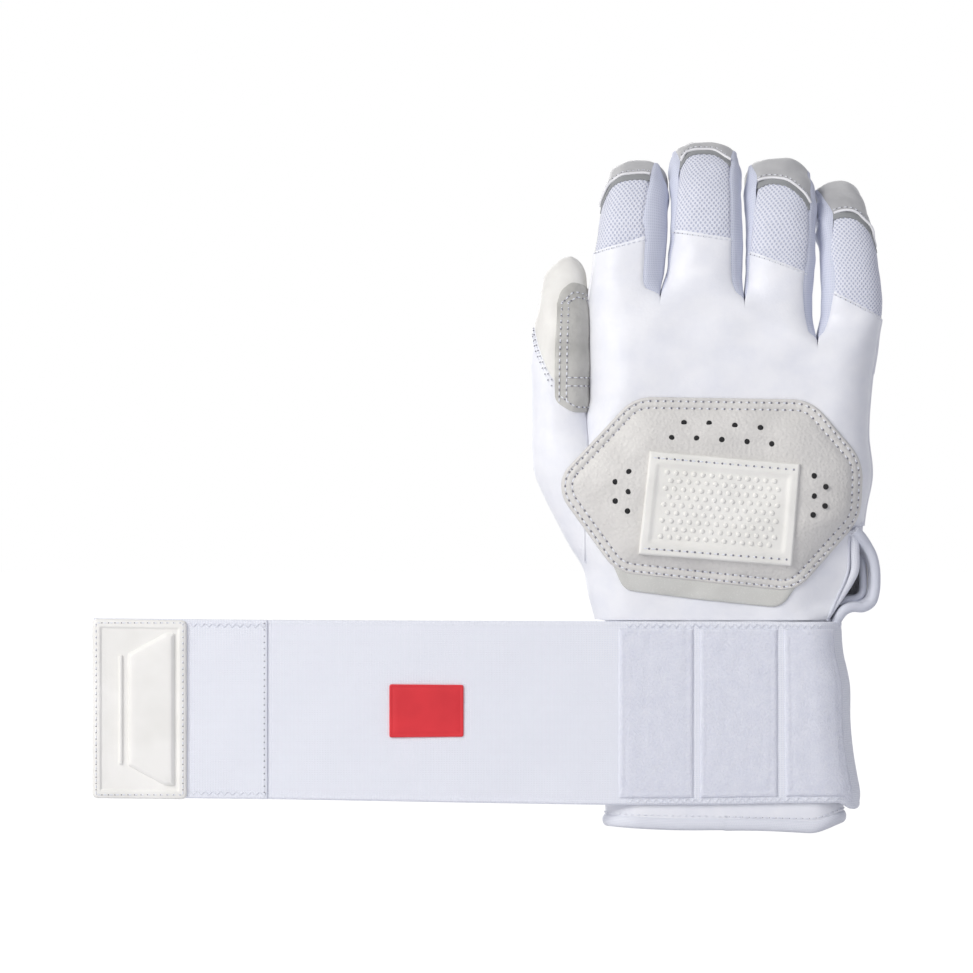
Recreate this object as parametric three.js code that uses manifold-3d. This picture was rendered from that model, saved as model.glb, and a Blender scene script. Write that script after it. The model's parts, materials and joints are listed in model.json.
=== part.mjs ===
// A batting glove for the right hand, upright with its fingers up and its wrist strap opened out flat.
// Millimetres. X runs from the thumb side to the little finger, Y from the back of the hand to the palm,
// and Z up the fingers. The origin is the centre of the wrist opening.
import * as THREE from "three";
import { mergeVertices } from "three/addons/utils/BufferGeometryUtils.js";
import Module from "manifold-3d";

const wasm = await Module();
wasm.setup();

// Sheet goods and the gaps between them
const LEATHER = 1.2;
const LYCRA = 1.0;
const KNIT = 1.1;
const ELASTIC = 1.6;
const LOOP_PILE = 1.0;
const HOOK_TAPE = 1.0;
const SEAM = 0.4;
const PLY = 0.3;

// Wrist cuff: flat-sided with round ends
const CUFF_HALF_WIDTH = 43.2;
const CUFF_HALF_DEPTH = 12.5;
const CUFF_WALL = 1.6;
const CUFF_TOP = 77;
const HEM_HEIGHT = 4.8;
const HEM_PROUD = 0.9;

// Hand
const KNUCKLE_LINE = 194;
const PINKY_LINE = 178;
const PINKY_STEP = 33.6;
const PINKY_STEP_EASE = 3;
const BACK_DEPTH = 14.5;
const PALM_DEPTH = 12.5;
const KNUCKLE_DEPTH = 11.6;
const HAND_ROUND = 15;
const HAND_SWELL_END = 108;
const HAND_TAPER_START = 166;
const THUMB_CROTCH = 150;
const CROTCH_EASE = 7;
const THUMB_SEAM = -50.6;
const GUSSET_BOTTOM = 97.5;
const THUMB_SIDE_FLARE = 3.8;
const OUTER_SIDE_INSET = 0.2;
const WEB_WIDTH = 3;
const WEB_HEIGHT = 2.6;

// Outlines of the hand as [height, x] stations
const BALL_OF_THUMB_EDGE = [[77, -(CUFF_HALF_WIDTH + THUMB_SIDE_FLARE)], [86, -49.4], [95, -51.2],
  [103, -56], [112, -60.8], [121, -65.2], [132, -69], [142, -70.2], [150, -70.2]];
const INDEX_EDGE = -49;
const OUTER_EDGE = [[77, CUFF_HALF_WIDTH - OUTER_SIDE_INSET], [81, 49], [86, 52], [92, 52.8], [99, 52],
  [106, 50.2], [116, 51], [129, 53.3], [144, 52], [163, 53.3], [174, 55], [194, 57]];
const VENT_FRONT_EDGE = [[77, 36.5], [84, 39.2], [91, 42], [98, 43], [105, 43.6], [109, 45.5], [113, 53]];
const VENT_CROWN = new THREE.Vector3(49.4, -8, 108);
const VENT_FRONT_HEIGHTS = [80, 84, 91, 98, 104];
const VENT_REAR_HEIGHTS = [105, 99, 92, 86, 82];
const BINDING_RADIUS = 1.5;

// Knuckle pad: corners of its outline as [x, z], clockwise from the top left
const PAD_CORNERS = [[-33, 157], [30.5, 156], [49.6, 134], [49, 113], [25, 86.5], [-39.5, 93.5],
  [-59.3, 121], [-59.3, 129]];
const PAD_CORNER_RADIUS = 7;
const PAD_LEATHER = 1.0;
const PAD_CROWN = 3.6;
const PAD_CENTRE = new THREE.Vector2(-5, 122);
const PAD_HALF_WIDTH = 54;
const PAD_HALF_HEIGHT = 35;
const FOAM_SHARE = 0.8;
const PAD_SEAT = 0.6;
const UNDERLAY = 0.8;
const UNDERLAY_CORNERS = [[-31, 153], [28, 152], [45, 133], [45, 115], [24.4, 87.4], [19.6, 81], [-10, 84],
  [-36.7, 87.4], [-39.6, 94], [-55, 121], [-55, 129]];
const UNDERLAY_CORNER_RADIUS = 4;
const BADGE_CORNERS = [[-31.7, 100.4], [23.4, 96.1], [26.3, 132.8], [-27.7, 137.5]];
const BADGE_THICKNESS = 1.5;

// Strap, opened out to the left of the cuff
const STRAP_BOTTOM = 11.2;
const STRAP_WIDTH = 65.6;
const STRAP_CORNER_GAP = 0.8;
const ANCHOR_TURN = 88;
const STRAP_END = 38.6;
const STRAP_CLEARANCE = 0.4;
const LOOP_MARGIN = 2;
const LOOP_PANELS = [[-38.2, -11.9], [-9.4, 18.4]];
const LAST_LOOP_START = 21.2;
const LAST_LOOP_TURN = 45;
const LABEL_WIDTH = 26.7;
const LABEL_HEIGHT = 18.7;
const LABEL_THICKNESS = 0.6;
const LABEL_CENTRE = new THREE.Vector2(-107.8, 44);
const TAB_LENGTH = 34;
const TAB_THICKNESS = 2;
const TAB_MARGIN = 0.5;
const TAB_CORNER = 3;
const RIDGE_HEIGHT = 1;
const RIDGE_START = 14.5;
const RIDGE_DRAW = 13;
const HOOK_MARGIN = 2;

// Fingers. Side edges and depth are given at the base, at the middle joint and where the round tip starts.
// The seams are angles round the finger from the middle of its back, positive towards the little finger.
const FINGERS = [
  {
    name: "index", base: KNUCKLE_LINE, lower: 19.5, upper: 32.8, curl: 75, tip: 9, cap: 24,
    left: [-48.6, -46.4, -42.6], right: [-25.4, -20.7, -20.5], depth: [22, 20.5, 17],
    back: [-88, 28], palm: [118, 270],
  },
  {
    name: "middle", base: KNUCKLE_LINE, lower: 21.5, upper: 38.2, curl: 75, tip: 9, cap: 29.5,
    left: [-22, -19.8, -19.3], right: [6.4, 6.8, 5.4], depth: [22, 20.5, 17],
    back: [-62, 42], palm: [120, 240],
  },
  {
    name: "ring", base: KNUCKLE_LINE, lower: 16, upper: 39.8, curl: 75, tip: 9, cap: 27.5,
    left: [7.4, 7.6, 8.2], right: [32, 33.2, 32], depth: [21, 20, 16.5],
    back: [-62, 46], palm: [120, 240],
  },
  {
    name: "pinky", base: PINKY_LINE, lower: 16, upper: 46.5, curl: 62, tip: 8, cap: 33,
    left: [34.2, 34.8, 33.6], right: [55.8, 57.2, 51], depth: [19.5, 19, 15],
    back: [-46, 88], palm: [90, 240],
  },
];
const FINGER_SQUARENESS = 2.4;
const SMALLEST_SIDE = 10;
const CAP_OVERLAP = 1;
const PIPING_RADIUS = 0.55;
const PIPING_SPOTS = 6;

// Thumb, the same way
const THUMB = {
  name: "thumb", base: THUMB_CROTCH, lower: 27, upper: 32.4, curl: 34, tip: 9, cap: 21.5,
  left: [-70, -69.6, -65.6], right: [-50.4, -50, -50.6], depth: [24, 21, 16],
};
const THUMB_INNER = [-22, 95];
const THUMB_PALM = [97, 206];

// How finely the curved faces are divided
const BACK_STEPS = [24, 16];
const PALM_STEPS = [20, 14];
const GUSSET_STEPS = [12, 7];
const WEB_STEPS = 4;
const PAD_CORNER_STEPS = 5;
const PAD_RINGS = 6;
const FOAM_RINGS = 5;
const BADGE_STEPS = [8, 6];
const BINDING_SIDES = 8;
const BINDING_STEPS = 30;
const CUFF_STEPS = 6;
const HEM_STEPS = [28, 4];
const TAB_CORNER_STEPS = 4;
const RIDGE_CORNER_STEPS = 3;
const BROAD_STEPS = 7;
const NARROW_STEPS = 4;
const LOWER_STEPS = 3;
const UPPER_STEPS = 6;
const THUMB_STEPS = 7;
const CAP_TURN_STEPS = 18;
const CAP_STEPS = 4;
const PIPING_SIDES = 6;
const PIPING_STEPS = 10;

const RIGHT_ANGLE = Math.PI / 2;
const FULL_TURN = 360;
const WELD = 1e-3;
const { clamp, lerp, smoothstep, degToRad } = THREE.MathUtils;

// Finishes
const finish = (color, roughness) => new THREE.MeshStandardMaterial({ color, roughness, metalness: 0 });
const WHITE_LEATHER = finish("#eceef4", 0.5);
const PALM_LEATHER = finish("#d3d3d2", 0.55);
const TIP_LEATHER = finish("#bcbcbd", 0.5);
const GRAIN_LEATHER = finish("#c6c6c5", 0.6);
const PAD_FINISH = finish("#d9d8d6", 0.45);
const UNDERLAY_FINISH = finish("#c2c2c1", 0.3);
const FOAM = finish("#e6e3d8", 0.9);
const BADGE_RUBBER = finish("#ebeae4", 0.5);
const STRETCH = finish("#c9d0e4", 0.8);
const MESH_KNIT = finish("#d5d9ea", 0.85);
const PIPING_CORD = finish("#a9abb0", 0.4);
const STRAP_ELASTIC = finish("#e3e7f2", 0.85);
const LOOP_FINISH = finish("#d6daee", 0.95);
const HOOK_FINISH = finish("#dfe2ea", 0.7);
const TAB_RUBBER = finish("#f6f5f1", 0.5);
const LABEL_FINISH = finish("#e0303a", 0.5);
const BINDING_FINISH = finish("#dfe1e8", 0.55);

/** Reads a smooth curve through [place, value] stations, held level past both ends. */
function profile(stations) {
  const places = stations.map(([place]) => place);
  const values = stations.map(([, value]) => value);
  const curve = new THREE.CubicInterpolant(places, values, 1);
  return (place) => curve.evaluate(clamp(place, places[0], places.at(-1)))[0];
}

/** Welds loose triangles into one closed body whose faces point out. */
function closedBody(points, faces) {
  const loose = new THREE.BufferGeometry();
  loose.setAttribute("position", new THREE.Float32BufferAttribute(points, 3));
  loose.setIndex(faces);
  const body = mergeVertices(loose, WELD);
  const index = body.index.array;
  const place = body.attributes.position;
  const corner = (i) => new THREE.Vector3().fromBufferAttribute(place, i);
  const kept = [];
  let volume = 0;
  for (let i = 0; i < index.length; i += 3) {
    const [a, b, c] = index.slice(i, i + 3);
    if (a === b || b === c || c === a) continue;
    kept.push([a, b, c]);
    volume += corner(a).dot(corner(b).cross(corner(c)));
  }
  body.setIndex(kept.flatMap((face) => (volume < 0 ? face.reverse() : face)));
  return body;
}

/** Makes the solid between an outer and an inner face, both read at u and v from 0 to 1.
    A ring closes on itself along u, and a dome comes to a point at v = 1. */
function sheet(outer, inner, uSteps, vSteps, { ring = false, dome = false } = {}) {
  const points = [];
  const faces = [];
  const columns = uSteps + 1;
  const layerSize = columns * (vSteps + 1);
  for (const face of [outer, inner]) {
    for (let row = 0; row <= vSteps; row += 1) {
      for (let column = 0; column <= uSteps; column += 1) {
        points.push(...face(column / uSteps, row / vSteps).toArray());
      }
    }
  }
  const at = (layer, column, row) => layer * layerSize + row * columns + column;
  const quad = (a, b, c, d) => faces.push(a, b, c, a, c, d);
  for (let row = 0; row < vSteps; row += 1) {
    for (let column = 0; column < uSteps; column += 1) {
      quad(at(0, column, row), at(0, column + 1, row), at(0, column + 1, row + 1), at(0, column, row + 1));
      quad(at(1, column, row), at(1, column, row + 1), at(1, column + 1, row + 1), at(1, column + 1, row));
    }
  }
  for (let column = 0; column < uSteps; column += 1) {
    quad(at(0, column, 0), at(1, column, 0), at(1, column + 1, 0), at(0, column + 1, 0));
    if (dome) continue;
    quad(at(0, column, vSteps), at(0, column + 1, vSteps), at(1, column + 1, vSteps), at(1, column, vSteps));
  }
  for (let row = 0; row < vSteps && !ring; row += 1) {
    quad(at(0, 0, row), at(0, 0, row + 1), at(1, 0, row + 1), at(1, 0, row));
    quad(at(0, uSteps, row), at(1, uSteps, row), at(1, uSteps, row + 1), at(0, uSteps, row + 1));
  }
  return closedBody(points, faces);
}

/** Makes a plate over a star-shaped outline of [x, z] points. Its near and far faces are read at x and z. */
function plate(outline, centre, near, far, rings) {
  const reach = (u, v) => {
    const step = u * outline.length;
    const from = outline[Math.round(step) % outline.length];
    return centre.clone().lerp(from, 1 - v * v);
  };
  const top = (u, v) => {
    const spot = reach(u, v);
    return new THREE.Vector3(spot.x, near(spot.x, spot.y), spot.y);
  };
  const bottom = (u, v) => {
    const spot = reach(u, v);
    return new THREE.Vector3(spot.x, far(spot.x, spot.y), spot.y);
  };
  return sheet(top, bottom, outline.length, rings, { ring: true, dome: true });
}

/** Joins overlapping closed bodies into one. */
function joined(...bodies) {
  const solids = bodies.map((body) => {
    const merged = mergeVertices(body.index ? body : new THREE.BufferGeometry().copy(body), WELD);
    return new wasm.Manifold(new wasm.Mesh({
      numProp: 3,
      vertProperties: new Float32Array(merged.attributes.position.array),
      triVerts: new Uint32Array(merged.index.array),
    }));
  });
  const whole = solids.reduce((sum, solid) => sum.add(solid)).getMesh();
  const geometry = new THREE.BufferGeometry();
  geometry.setAttribute("position", new THREE.Float32BufferAttribute(whole.vertProperties, whole.numProp));
  geometry.setIndex([...whole.triVerts]);
  return geometry;
}

/** Rounds the corners of a polygon of [x, z] points and spaces points along it. */
function roundedOutline(corners, radius, pointsPerCorner) {
  const spots = corners.map(([x, z]) => new THREE.Vector2(x, z));
  const shape = new THREE.Path();
  spots.forEach((spot, i) => {
    const before = spots.at(i - 1);
    const after = spots[(i + 1) % spots.length];
    const cut = Math.min(radius, spot.distanceTo(before) / 2, spot.distanceTo(after) / 2);
    const enter = spot.clone().add(before.clone().sub(spot).setLength(cut));
    const leave = spot.clone().add(after.clone().sub(spot).setLength(cut));
    if (i === 0) shape.moveTo(enter.x, enter.y);
    else shape.lineTo(enter.x, enter.y);
    shape.quadraticCurveTo(spot.x, spot.y, leave.x, leave.y);
  });
  shape.closePath();
  return shape.getSpacedPoints(corners.length * pointsPerCorner).slice(0, -1);
}

/** Starts a body that turns about an axis through its pivot. */
function body(parent, joint, pivot, axis) {
  const group = new THREE.Group();
  group.userData = { joint, pivot, axis };
  group.position.copy(pivot).sub(parent.userData.pivot);
  parent.add(group);
  return group;
}

/** Puts a piece, drawn in the glove's own frame, on a body. */
function piece(on, name, geometry, material) {
  const mesh = new THREE.Mesh(geometry, material);
  mesh.name = name;
  mesh.position.copy(on.userData.pivot).negate();
  on.add(mesh);
}

// The hand's skin: how far it stands from the middle of the hand, over its whole outline
const ballOfThumbEdge = profile(BALL_OF_THUMB_EDGE);
const outerEdge = profile(OUTER_EDGE);
const ventFrontEdge = profile(VENT_FRONT_EDGE);

/** Gives the thumb-side outline of the hand at a height. */
function innerEdge(z) {
  return lerp(ballOfThumbEdge(z), INDEX_EDGE, smoothstep(z, THUMB_CROTCH, THUMB_CROTCH + CROTCH_EASE));
}

/** Gives the share of the full depth at a distance in from an outline. */
function roundEdge(inset, radius) {
  const away = 1 - clamp(inset / radius, 0, 1);
  return Math.sqrt(1 - away * away);
}

/** Gives the depth of the back or the palm at a spot, with the outline drawn in by a wall. */
function handDepth(x, z, side, wall = 0) {
  const taper = smoothstep(z, HAND_TAPER_START, KNUCKLE_LINE);
  const swell = smoothstep(z, CUFF_TOP, HAND_SWELL_END);
  const back = lerp(lerp(CUFF_HALF_DEPTH, BACK_DEPTH, swell), KNUCKLE_DEPTH, taper);
  const full = (side < 0 ? back : lerp(PALM_DEPTH, KNUCKLE_DEPTH, taper)) - wall;
  const radius = HAND_ROUND - wall;
  return full * roundEdge(x - innerEdge(z) - wall, radius) * roundEdge(outerEdge(z) - wall - x, radius);
}

/** Makes a leather panel of the hand between two outlines. Side is -1 for the back and 1 for the palm. */
function handPanel(side, from, to, steps) {
  const skin = (wall) => (u, v) => {
    const across = (1 - Math.cos(Math.PI * u)) / 2;
    const roof = handRoof(lerp(from(KNUCKLE_LINE), to(KNUCKLE_LINE), across));
    const z = lerp(CUFF_TOP + SEAM, roof, v);
    const left = innerEdge(z);
    const right = outerEdge(z);
    const x = lerp(from(z), to(z), across);
    const drawn = lerp(left + wall, right - wall, (x - left) / (right - left));
    return new THREE.Vector3(drawn, side * (SEAM / 2 + handDepth(drawn, z, side, wall)), z);
  };
  return sheet(skin(0), skin(LEATHER), ...steps);
}

const pinkyShare = (x) => smoothstep(x, PINKY_STEP - PINKY_STEP_EASE, PINKY_STEP);
const handRoof = (x) => lerp(KNUCKLE_LINE, PINKY_LINE, pinkyShare(x)) - SEAM;
const backLeft = (z) => Math.max(innerEdge(z), THUMB_SEAM);
const backRight = (z) => Math.min(outerEdge(z), ventFrontEdge(z));

const glove = new THREE.Group();
glove.name = "batting_glove";
const hand = new THREE.Group();
hand.userData = { pivot: new THREE.Vector3() };
glove.add(hand);

piece(hand, "back_panel", handPanel(-1, backLeft, backRight, BACK_STEPS), WHITE_LEATHER);
piece(hand, "palm_panel", handPanel(1, backLeft, outerEdge, PALM_STEPS), PALM_LEATHER);

// Thumb gusset: folds round the ball of the thumb from the back seam to the palm seam
const gussetSkin = (wall) => (u, v) => {
  const z = lerp(GUSSET_BOTTOM, THUMB_CROTCH - SEAM, v);
  const turn = Math.abs(2 * u - 1);
  const x = lerp(innerEdge(z) + wall, THUMB_SEAM - SEAM, 1 - Math.cos(turn * RIGHT_ANGLE));
  const side = u < 0.5 ? -1 : 1;
  return new THREE.Vector3(x, side * handDepth(x, z, side, wall), z);
};
piece(hand, "thumb_gusset", sheet(gussetSkin(0), gussetSkin(LEATHER), ...GUSSET_STEPS), WHITE_LEATHER);

// Webs: short walls that close the bottom of each finger gap between the back and the palm
FINGERS.slice(1).forEach((finger, i) => {
  const neighbour = FINGERS[i];
  const x = (neighbour.right[0] + finger.left[0]) / 2;
  const roof = Math.min(handRoof(x - WEB_WIDTH), handRoof(x + WEB_WIDTH));
  const floor = finger.base - SEAM - WEB_HEIGHT;
  const shape = new THREE.Shape();
  const wall = LEATHER + SEAM;
  const back = SEAM - handDepth(x, floor, -1) + wall;
  const front = handDepth(x, floor, 1) - SEAM - wall;
  shape.moveTo(back, 0);
  shape.quadraticCurveTo((back + front) / 2, -WEB_HEIGHT / 2, front, 0);
  shape.lineTo(front, roof - floor);
  shape.quadraticCurveTo((back + front) / 2, roof - floor - WEB_HEIGHT / 2, back, roof - floor);
  const options = { depth: WEB_WIDTH, bevelEnabled: false, curveSegments: WEB_STEPS };
  const web = new THREE.ExtrudeGeometry(shape, options);
  web.rotateX(RIGHT_ANGLE).rotateZ(RIGHT_ANGLE).translate(x - WEB_WIDTH / 2, 0, floor);
  piece(hand, `web_${neighbour.name}_${finger.name}`, web, STRETCH);
});

// Knuckle pad: backing, foam and leather cover over the back panel, then the badge
const padOutline = roundedOutline(PAD_CORNERS, PAD_CORNER_RADIUS, PAD_CORNER_STEPS);
const padBase = PAD_SEAT + UNDERLAY + PAD_SEAT;
const backFace = (x, z) => -(SEAM / 2 + handDepth(x, z, -1));

/** Gives how far the pad cover swells at a spot. */
function padSwell(x, z) {
  const across = (x - PAD_CENTRE.x) / PAD_HALF_WIDTH;
  const along = (z - PAD_CENTRE.y) / PAD_HALF_HEIGHT;
  return PAD_CROWN * Math.max(0, 1 - across ** 4 - along ** 4);
}

const padUnder = (x, z) => backFace(x, z) - padBase - padSwell(x, z);
const padTop = (x, z) => padUnder(x, z) - PAD_LEATHER;
const foamOutline = padOutline.map((spot) => PAD_CENTRE.clone().lerp(spot, FOAM_SHARE));
const underlayOutline = roundedOutline(UNDERLAY_CORNERS, UNDERLAY_CORNER_RADIUS, PAD_CORNER_STEPS);
const underlayUnder = (x, z) => backFace(x, z) - PAD_SEAT;
const underlayTop = (x, z) => underlayUnder(x, z) - UNDERLAY;
const foamUnder = (x, z) => backFace(x, z) - padBase;
const foamTop = (x, z) => padUnder(x, z) + PAD_SEAT;
piece(hand, "knuckle_pad_underlay",
  plate(underlayOutline, PAD_CENTRE, underlayTop, underlayUnder, PAD_RINGS), UNDERLAY_FINISH);
piece(hand, "knuckle_pad_foam", plate(foamOutline, PAD_CENTRE, foamTop, foamUnder, FOAM_RINGS), FOAM);
piece(hand, "knuckle_pad_cover", plate(padOutline, PAD_CENTRE, padTop, padUnder, PAD_RINGS), PAD_FINISH);

/** Reads a spot on the badge's quadrilateral. */
function badgeSpot(u, v) {
  const corners = BADGE_CORNERS.map(([x, z]) => new THREE.Vector2(x, z));
  const [bottomLeft, bottomRight, topRight, topLeft] = corners;
  return bottomLeft.lerp(bottomRight, u).lerp(topLeft.lerp(topRight, u), v);
}

const badgeFace = (lift) => (u, v) => {
  const spot = badgeSpot(u, v);
  return new THREE.Vector3(spot.x, padTop(spot.x, spot.y) - lift, spot.y);
};
piece(hand, "badge", sheet(badgeFace(PLY + BADGE_THICKNESS), badgeFace(PLY), ...BADGE_STEPS), BADGE_RUBBER);

/** Makes a cord of round section along a smooth path. */
function cord(spots, radius, sides, steps) {
  const section = new THREE.Shape();
  for (let side = 0; side < sides; side += 1) {
    const angle = (2 * Math.PI * side) / sides;
    if (side === 0) section.moveTo(radius, 0);
    else section.lineTo(radius * Math.cos(angle), radius * Math.sin(angle));
  }
  section.closePath();
  const extrudePath = new THREE.CatmullRomCurve3(spots);
  return new THREE.ExtrudeGeometry(section, { steps, extrudePath, bevelEnabled: false });
}

// Vent: the back panel stops short of the outline here, and a bound edge runs up its front and down behind
const bindingOut = BINDING_RADIUS + PLY;
const ventFront = VENT_FRONT_HEIGHTS.map((z) => {
  const x = ventFrontEdge(z) + bindingOut;
  return new THREE.Vector3(x, backFace(x, z) + LEATHER / 2, z);
});
const ventRear = VENT_REAR_HEIGHTS.map((z) => {
  return new THREE.Vector3(outerEdge(z) + bindingOut, -BINDING_RADIUS, z);
});
const ventPath = [...ventFront, VENT_CROWN, ...ventRear];
piece(hand, "vent_binding", cord(ventPath, BINDING_RADIUS, BINDING_SIDES, BINDING_STEPS), BINDING_FINISH);

// Wrist cuff and strap, drawn in plan and raised along Z
const roundCentre = CUFF_HALF_WIDTH - CUFF_HALF_DEPTH;

/** Makes half a turn of the cuff's wall, on the back (side -1) or the palm (side 1). */
function cuffHalf(side) {
  const shape = new THREE.Shape();
  const bottom = HEM_HEIGHT + PLY;
  const outer = CUFF_HALF_DEPTH;
  const inner = CUFF_HALF_DEPTH - CUFF_WALL;
  const start = Math.asin(SEAM / 2 / outer);
  const innerStart = Math.asin(SEAM / 2 / inner);
  shape.absarc(-roundCentre, 0, outer, Math.PI + start, 1.5 * Math.PI, false);
  shape.absarc(roundCentre, 0, outer, 1.5 * Math.PI, 2 * Math.PI - start, false);
  shape.absarc(roundCentre, 0, inner, 2 * Math.PI - innerStart, 1.5 * Math.PI, true);
  shape.absarc(-roundCentre, 0, inner, 1.5 * Math.PI, Math.PI + innerStart, true);
  shape.closePath();
  const options = { depth: CUFF_TOP - bottom, bevelEnabled: false, curveSegments: CUFF_STEPS };
  const half = new THREE.ExtrudeGeometry(shape, options);
  if (side > 0) half.rotateZ(Math.PI);
  return half.translate(0, 0, bottom);
}

piece(hand, "cuff_back", cuffHalf(-1), WHITE_LEATHER);
piece(hand, "cuff_palm", cuffHalf(1), PALM_LEATHER);

// Hem: a rolled band right round the bottom of the cuff
const hemProfile = (angle) => new THREE.Vector2(
  lerp(-CUFF_WALL, HEM_PROUD, (1 + Math.cos(angle)) / 2), HEM_HEIGHT * (1 + Math.sin(angle)) / 2);
const hemFace = (outside) => (u, v) => {
  const start = outside ? -RIGHT_ANGLE : 3 * RIGHT_ANGLE;
  const round = hemProfile(lerp(start, RIGHT_ANGLE, v));
  const angle = 2 * Math.PI * u;
  const side = Math.cos(angle) > 0 ? 1 : -1;
  const reach = CUFF_HALF_DEPTH + round.x;
  return new THREE.Vector3(side * roundCentre + reach * Math.cos(angle), reach * Math.sin(angle), round.y);
};
const hem = sheet(hemFace(true), hemFace(false), ...HEM_STEPS, { ring: true });
piece(hand, "cuff_binding", hem, BINDING_FINISH);

const strapInside = -(CUFF_HALF_DEPTH + PLY);
const strapOutside = strapInside - ELASTIC;
const firstCorner = -(CUFF_HALF_WIDTH + STRAP_CORNER_GAP);

/** Raises a band that lies on the cuff's back, from x = start round its outer end by a turn in degrees. */
function wristBand(start, turn, lift, thickness, bottom, height) {
  const shape = new THREE.Shape();
  const inner = CUFF_HALF_DEPTH + lift;
  const outer = inner + thickness;
  const end = 1.5 * Math.PI + degToRad(turn);
  shape.moveTo(start, -outer);
  shape.lineTo(roundCentre, -outer);
  shape.absarc(roundCentre, 0, outer, 1.5 * Math.PI, end, false);
  shape.absarc(roundCentre, 0, inner, end, 1.5 * Math.PI, true);
  shape.lineTo(start, -inner);
  shape.closePath();
  const options = { depth: height, bevelEnabled: false, curveSegments: CUFF_STEPS };
  return new THREE.ExtrudeGeometry(shape, options).translate(0, 0, bottom);
}

/** Makes a flat rectangular piece between two x, two y and two z places. */
function block(x0, x1, y0, y1, z0, z1) {
  const box = new THREE.BoxGeometry(x1 - x0, y1 - y0, z1 - z0);
  return box.translate((x0 + x1) / 2, (y0 + y1) / 2, (z0 + z1) / 2);
}

const strapTop = STRAP_BOTTOM + STRAP_WIDTH;
const loopBottom = STRAP_BOTTOM + LOOP_MARGIN;
const loopTop = strapTop - LOOP_MARGIN;
const loopOutside = strapOutside - PLY - LOOP_PILE;
piece(hand, "strap_anchor", wristBand(firstCorner + SEAM / 2, ANCHOR_TURN, PLY, ELASTIC,
  STRAP_BOTTOM, STRAP_WIDTH), STRAP_ELASTIC);
LOOP_PANELS.forEach(([left, right], i) => {
  piece(hand, `loop_panel_${i + 1}`,
    block(left, right, loopOutside, strapOutside - PLY, loopBottom, loopTop), LOOP_FINISH);
});
piece(hand, "loop_panel_3", wristBand(LAST_LOOP_START, LAST_LOOP_TURN, PLY + ELASTIC + PLY, LOOP_PILE,
  loopBottom, loopTop - loopBottom), LOOP_FINISH);

// Each stretch of the strap is as long as the side of the wrist that it wraps
const ulnarReach = CUFF_HALF_WIDTH + PLY + ELASTIC + STRAP_CLEARANCE;
const hookInside = loopOutside - STRAP_CLEARANCE;
const sideLength = 2 * (CUFF_HALF_DEPTH + PLY);
const runLength = ulnarReach - firstCorner;
const farLength = CUFF_HALF_DEPTH + PLY - (hookInside - HOOK_TAPE - PLY);
const secondCorner = firstCorner - sideLength;
const thirdCorner = secondCorner - runLength;
const fourthCorner = thirdCorner - farLength;
const strapTip = fourthCorner - STRAP_END;
const upright = new THREE.Vector3(0, 0, -1);
const strapPivot = (x) => new THREE.Vector3(x, strapInside, 0);
const stretch = (from, to) => {
  return block(to + SEAM / 2, from - SEAM / 2, strapOutside, strapInside, STRAP_BOTTOM, strapTop);
};

const side = body(hand, "strap_fold", strapPivot(firstCorner), upright);
const run = body(side, "strap_fold_palm", strapPivot(secondCorner), upright);
const far = body(run, "strap_wrap", strapPivot(thirdCorner), upright);
const end = body(far, "strap_wrap_tab", strapPivot(fourthCorner), upright);
piece(side, "strap_side", stretch(firstCorner, secondCorner), STRAP_ELASTIC);
piece(run, "strap_run", stretch(secondCorner, thirdCorner), STRAP_ELASTIC);
piece(far, "strap_far_side", stretch(thirdCorner, fourthCorner), STRAP_ELASTIC);
piece(end, "strap_end", stretch(fourthCorner, strapTip), STRAP_ELASTIC);
piece(run, "strap_label", block(LABEL_CENTRE.x - LABEL_WIDTH / 2, LABEL_CENTRE.x + LABEL_WIDTH / 2,
  strapOutside - PLY - LABEL_THICKNESS, strapOutside - PLY,
  LABEL_CENTRE.y - LABEL_HEIGHT / 2, LABEL_CENTRE.y + LABEL_HEIGHT / 2), LABEL_FINISH);
piece(end, "hook_patch", block(strapTip + HOOK_MARGIN, strapTip + TAB_LENGTH, strapInside + PLY,
  strapInside + PLY + HOOK_TAPE, STRAP_BOTTOM + HOOK_MARGIN, strapTop - HOOK_MARGIN), HOOK_FINISH);

// Pull tab: a moulded plate with a raised field whose end is drawn in
const tabRight = strapTip + TAB_LENGTH;
const tabBottom = STRAP_BOTTOM + TAB_MARGIN;
const tabTop = strapTop - TAB_MARGIN;
const tabBack = strapOutside - PLY;

/** Raises an outline of [x, z] points towards the viewer from one y to another. */
function raised(outline, back, front) {
  const face = (y) => (u, v) => {
    const step = Math.round(u * outline.length) % outline.length;
    const sum = outline.reduce((total, spot) => total.add(spot), new THREE.Vector2());
    const middle = sum.divideScalar(outline.length);
    const spot = middle.lerp(outline[step], 1 - v);
    return new THREE.Vector3(spot.x, y, spot.y);
  };
  return sheet(face(front), face(back), outline.length, 1, { ring: true, dome: true });
}

const tabOutline = roundedOutline([[strapTip, tabTop], [tabRight, tabTop], [tabRight, tabBottom],
  [strapTip, tabBottom]], TAB_CORNER, TAB_CORNER_STEPS);
const ridgeLeft = strapTip + RIDGE_START;
const ridgeRight = tabRight - TAB_CORNER;
const ridgeOutline = roundedOutline([[ridgeLeft, tabTop - RIDGE_DRAW], [ridgeRight, tabTop - TAB_CORNER],
  [ridgeRight, tabBottom + TAB_CORNER], [ridgeLeft, tabBottom + RIDGE_DRAW]],
  TAB_CORNER / 2, RIDGE_CORNER_STEPS);
piece(end, "pull_tab", joined(raised(tabOutline, tabBack, tabBack - TAB_THICKNESS),
  raised(ridgeOutline, tabBack - TAB_THICKNESS / 2, tabBack - TAB_THICKNESS - RIDGE_HEIGHT)), TAB_RUBBER);

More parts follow.
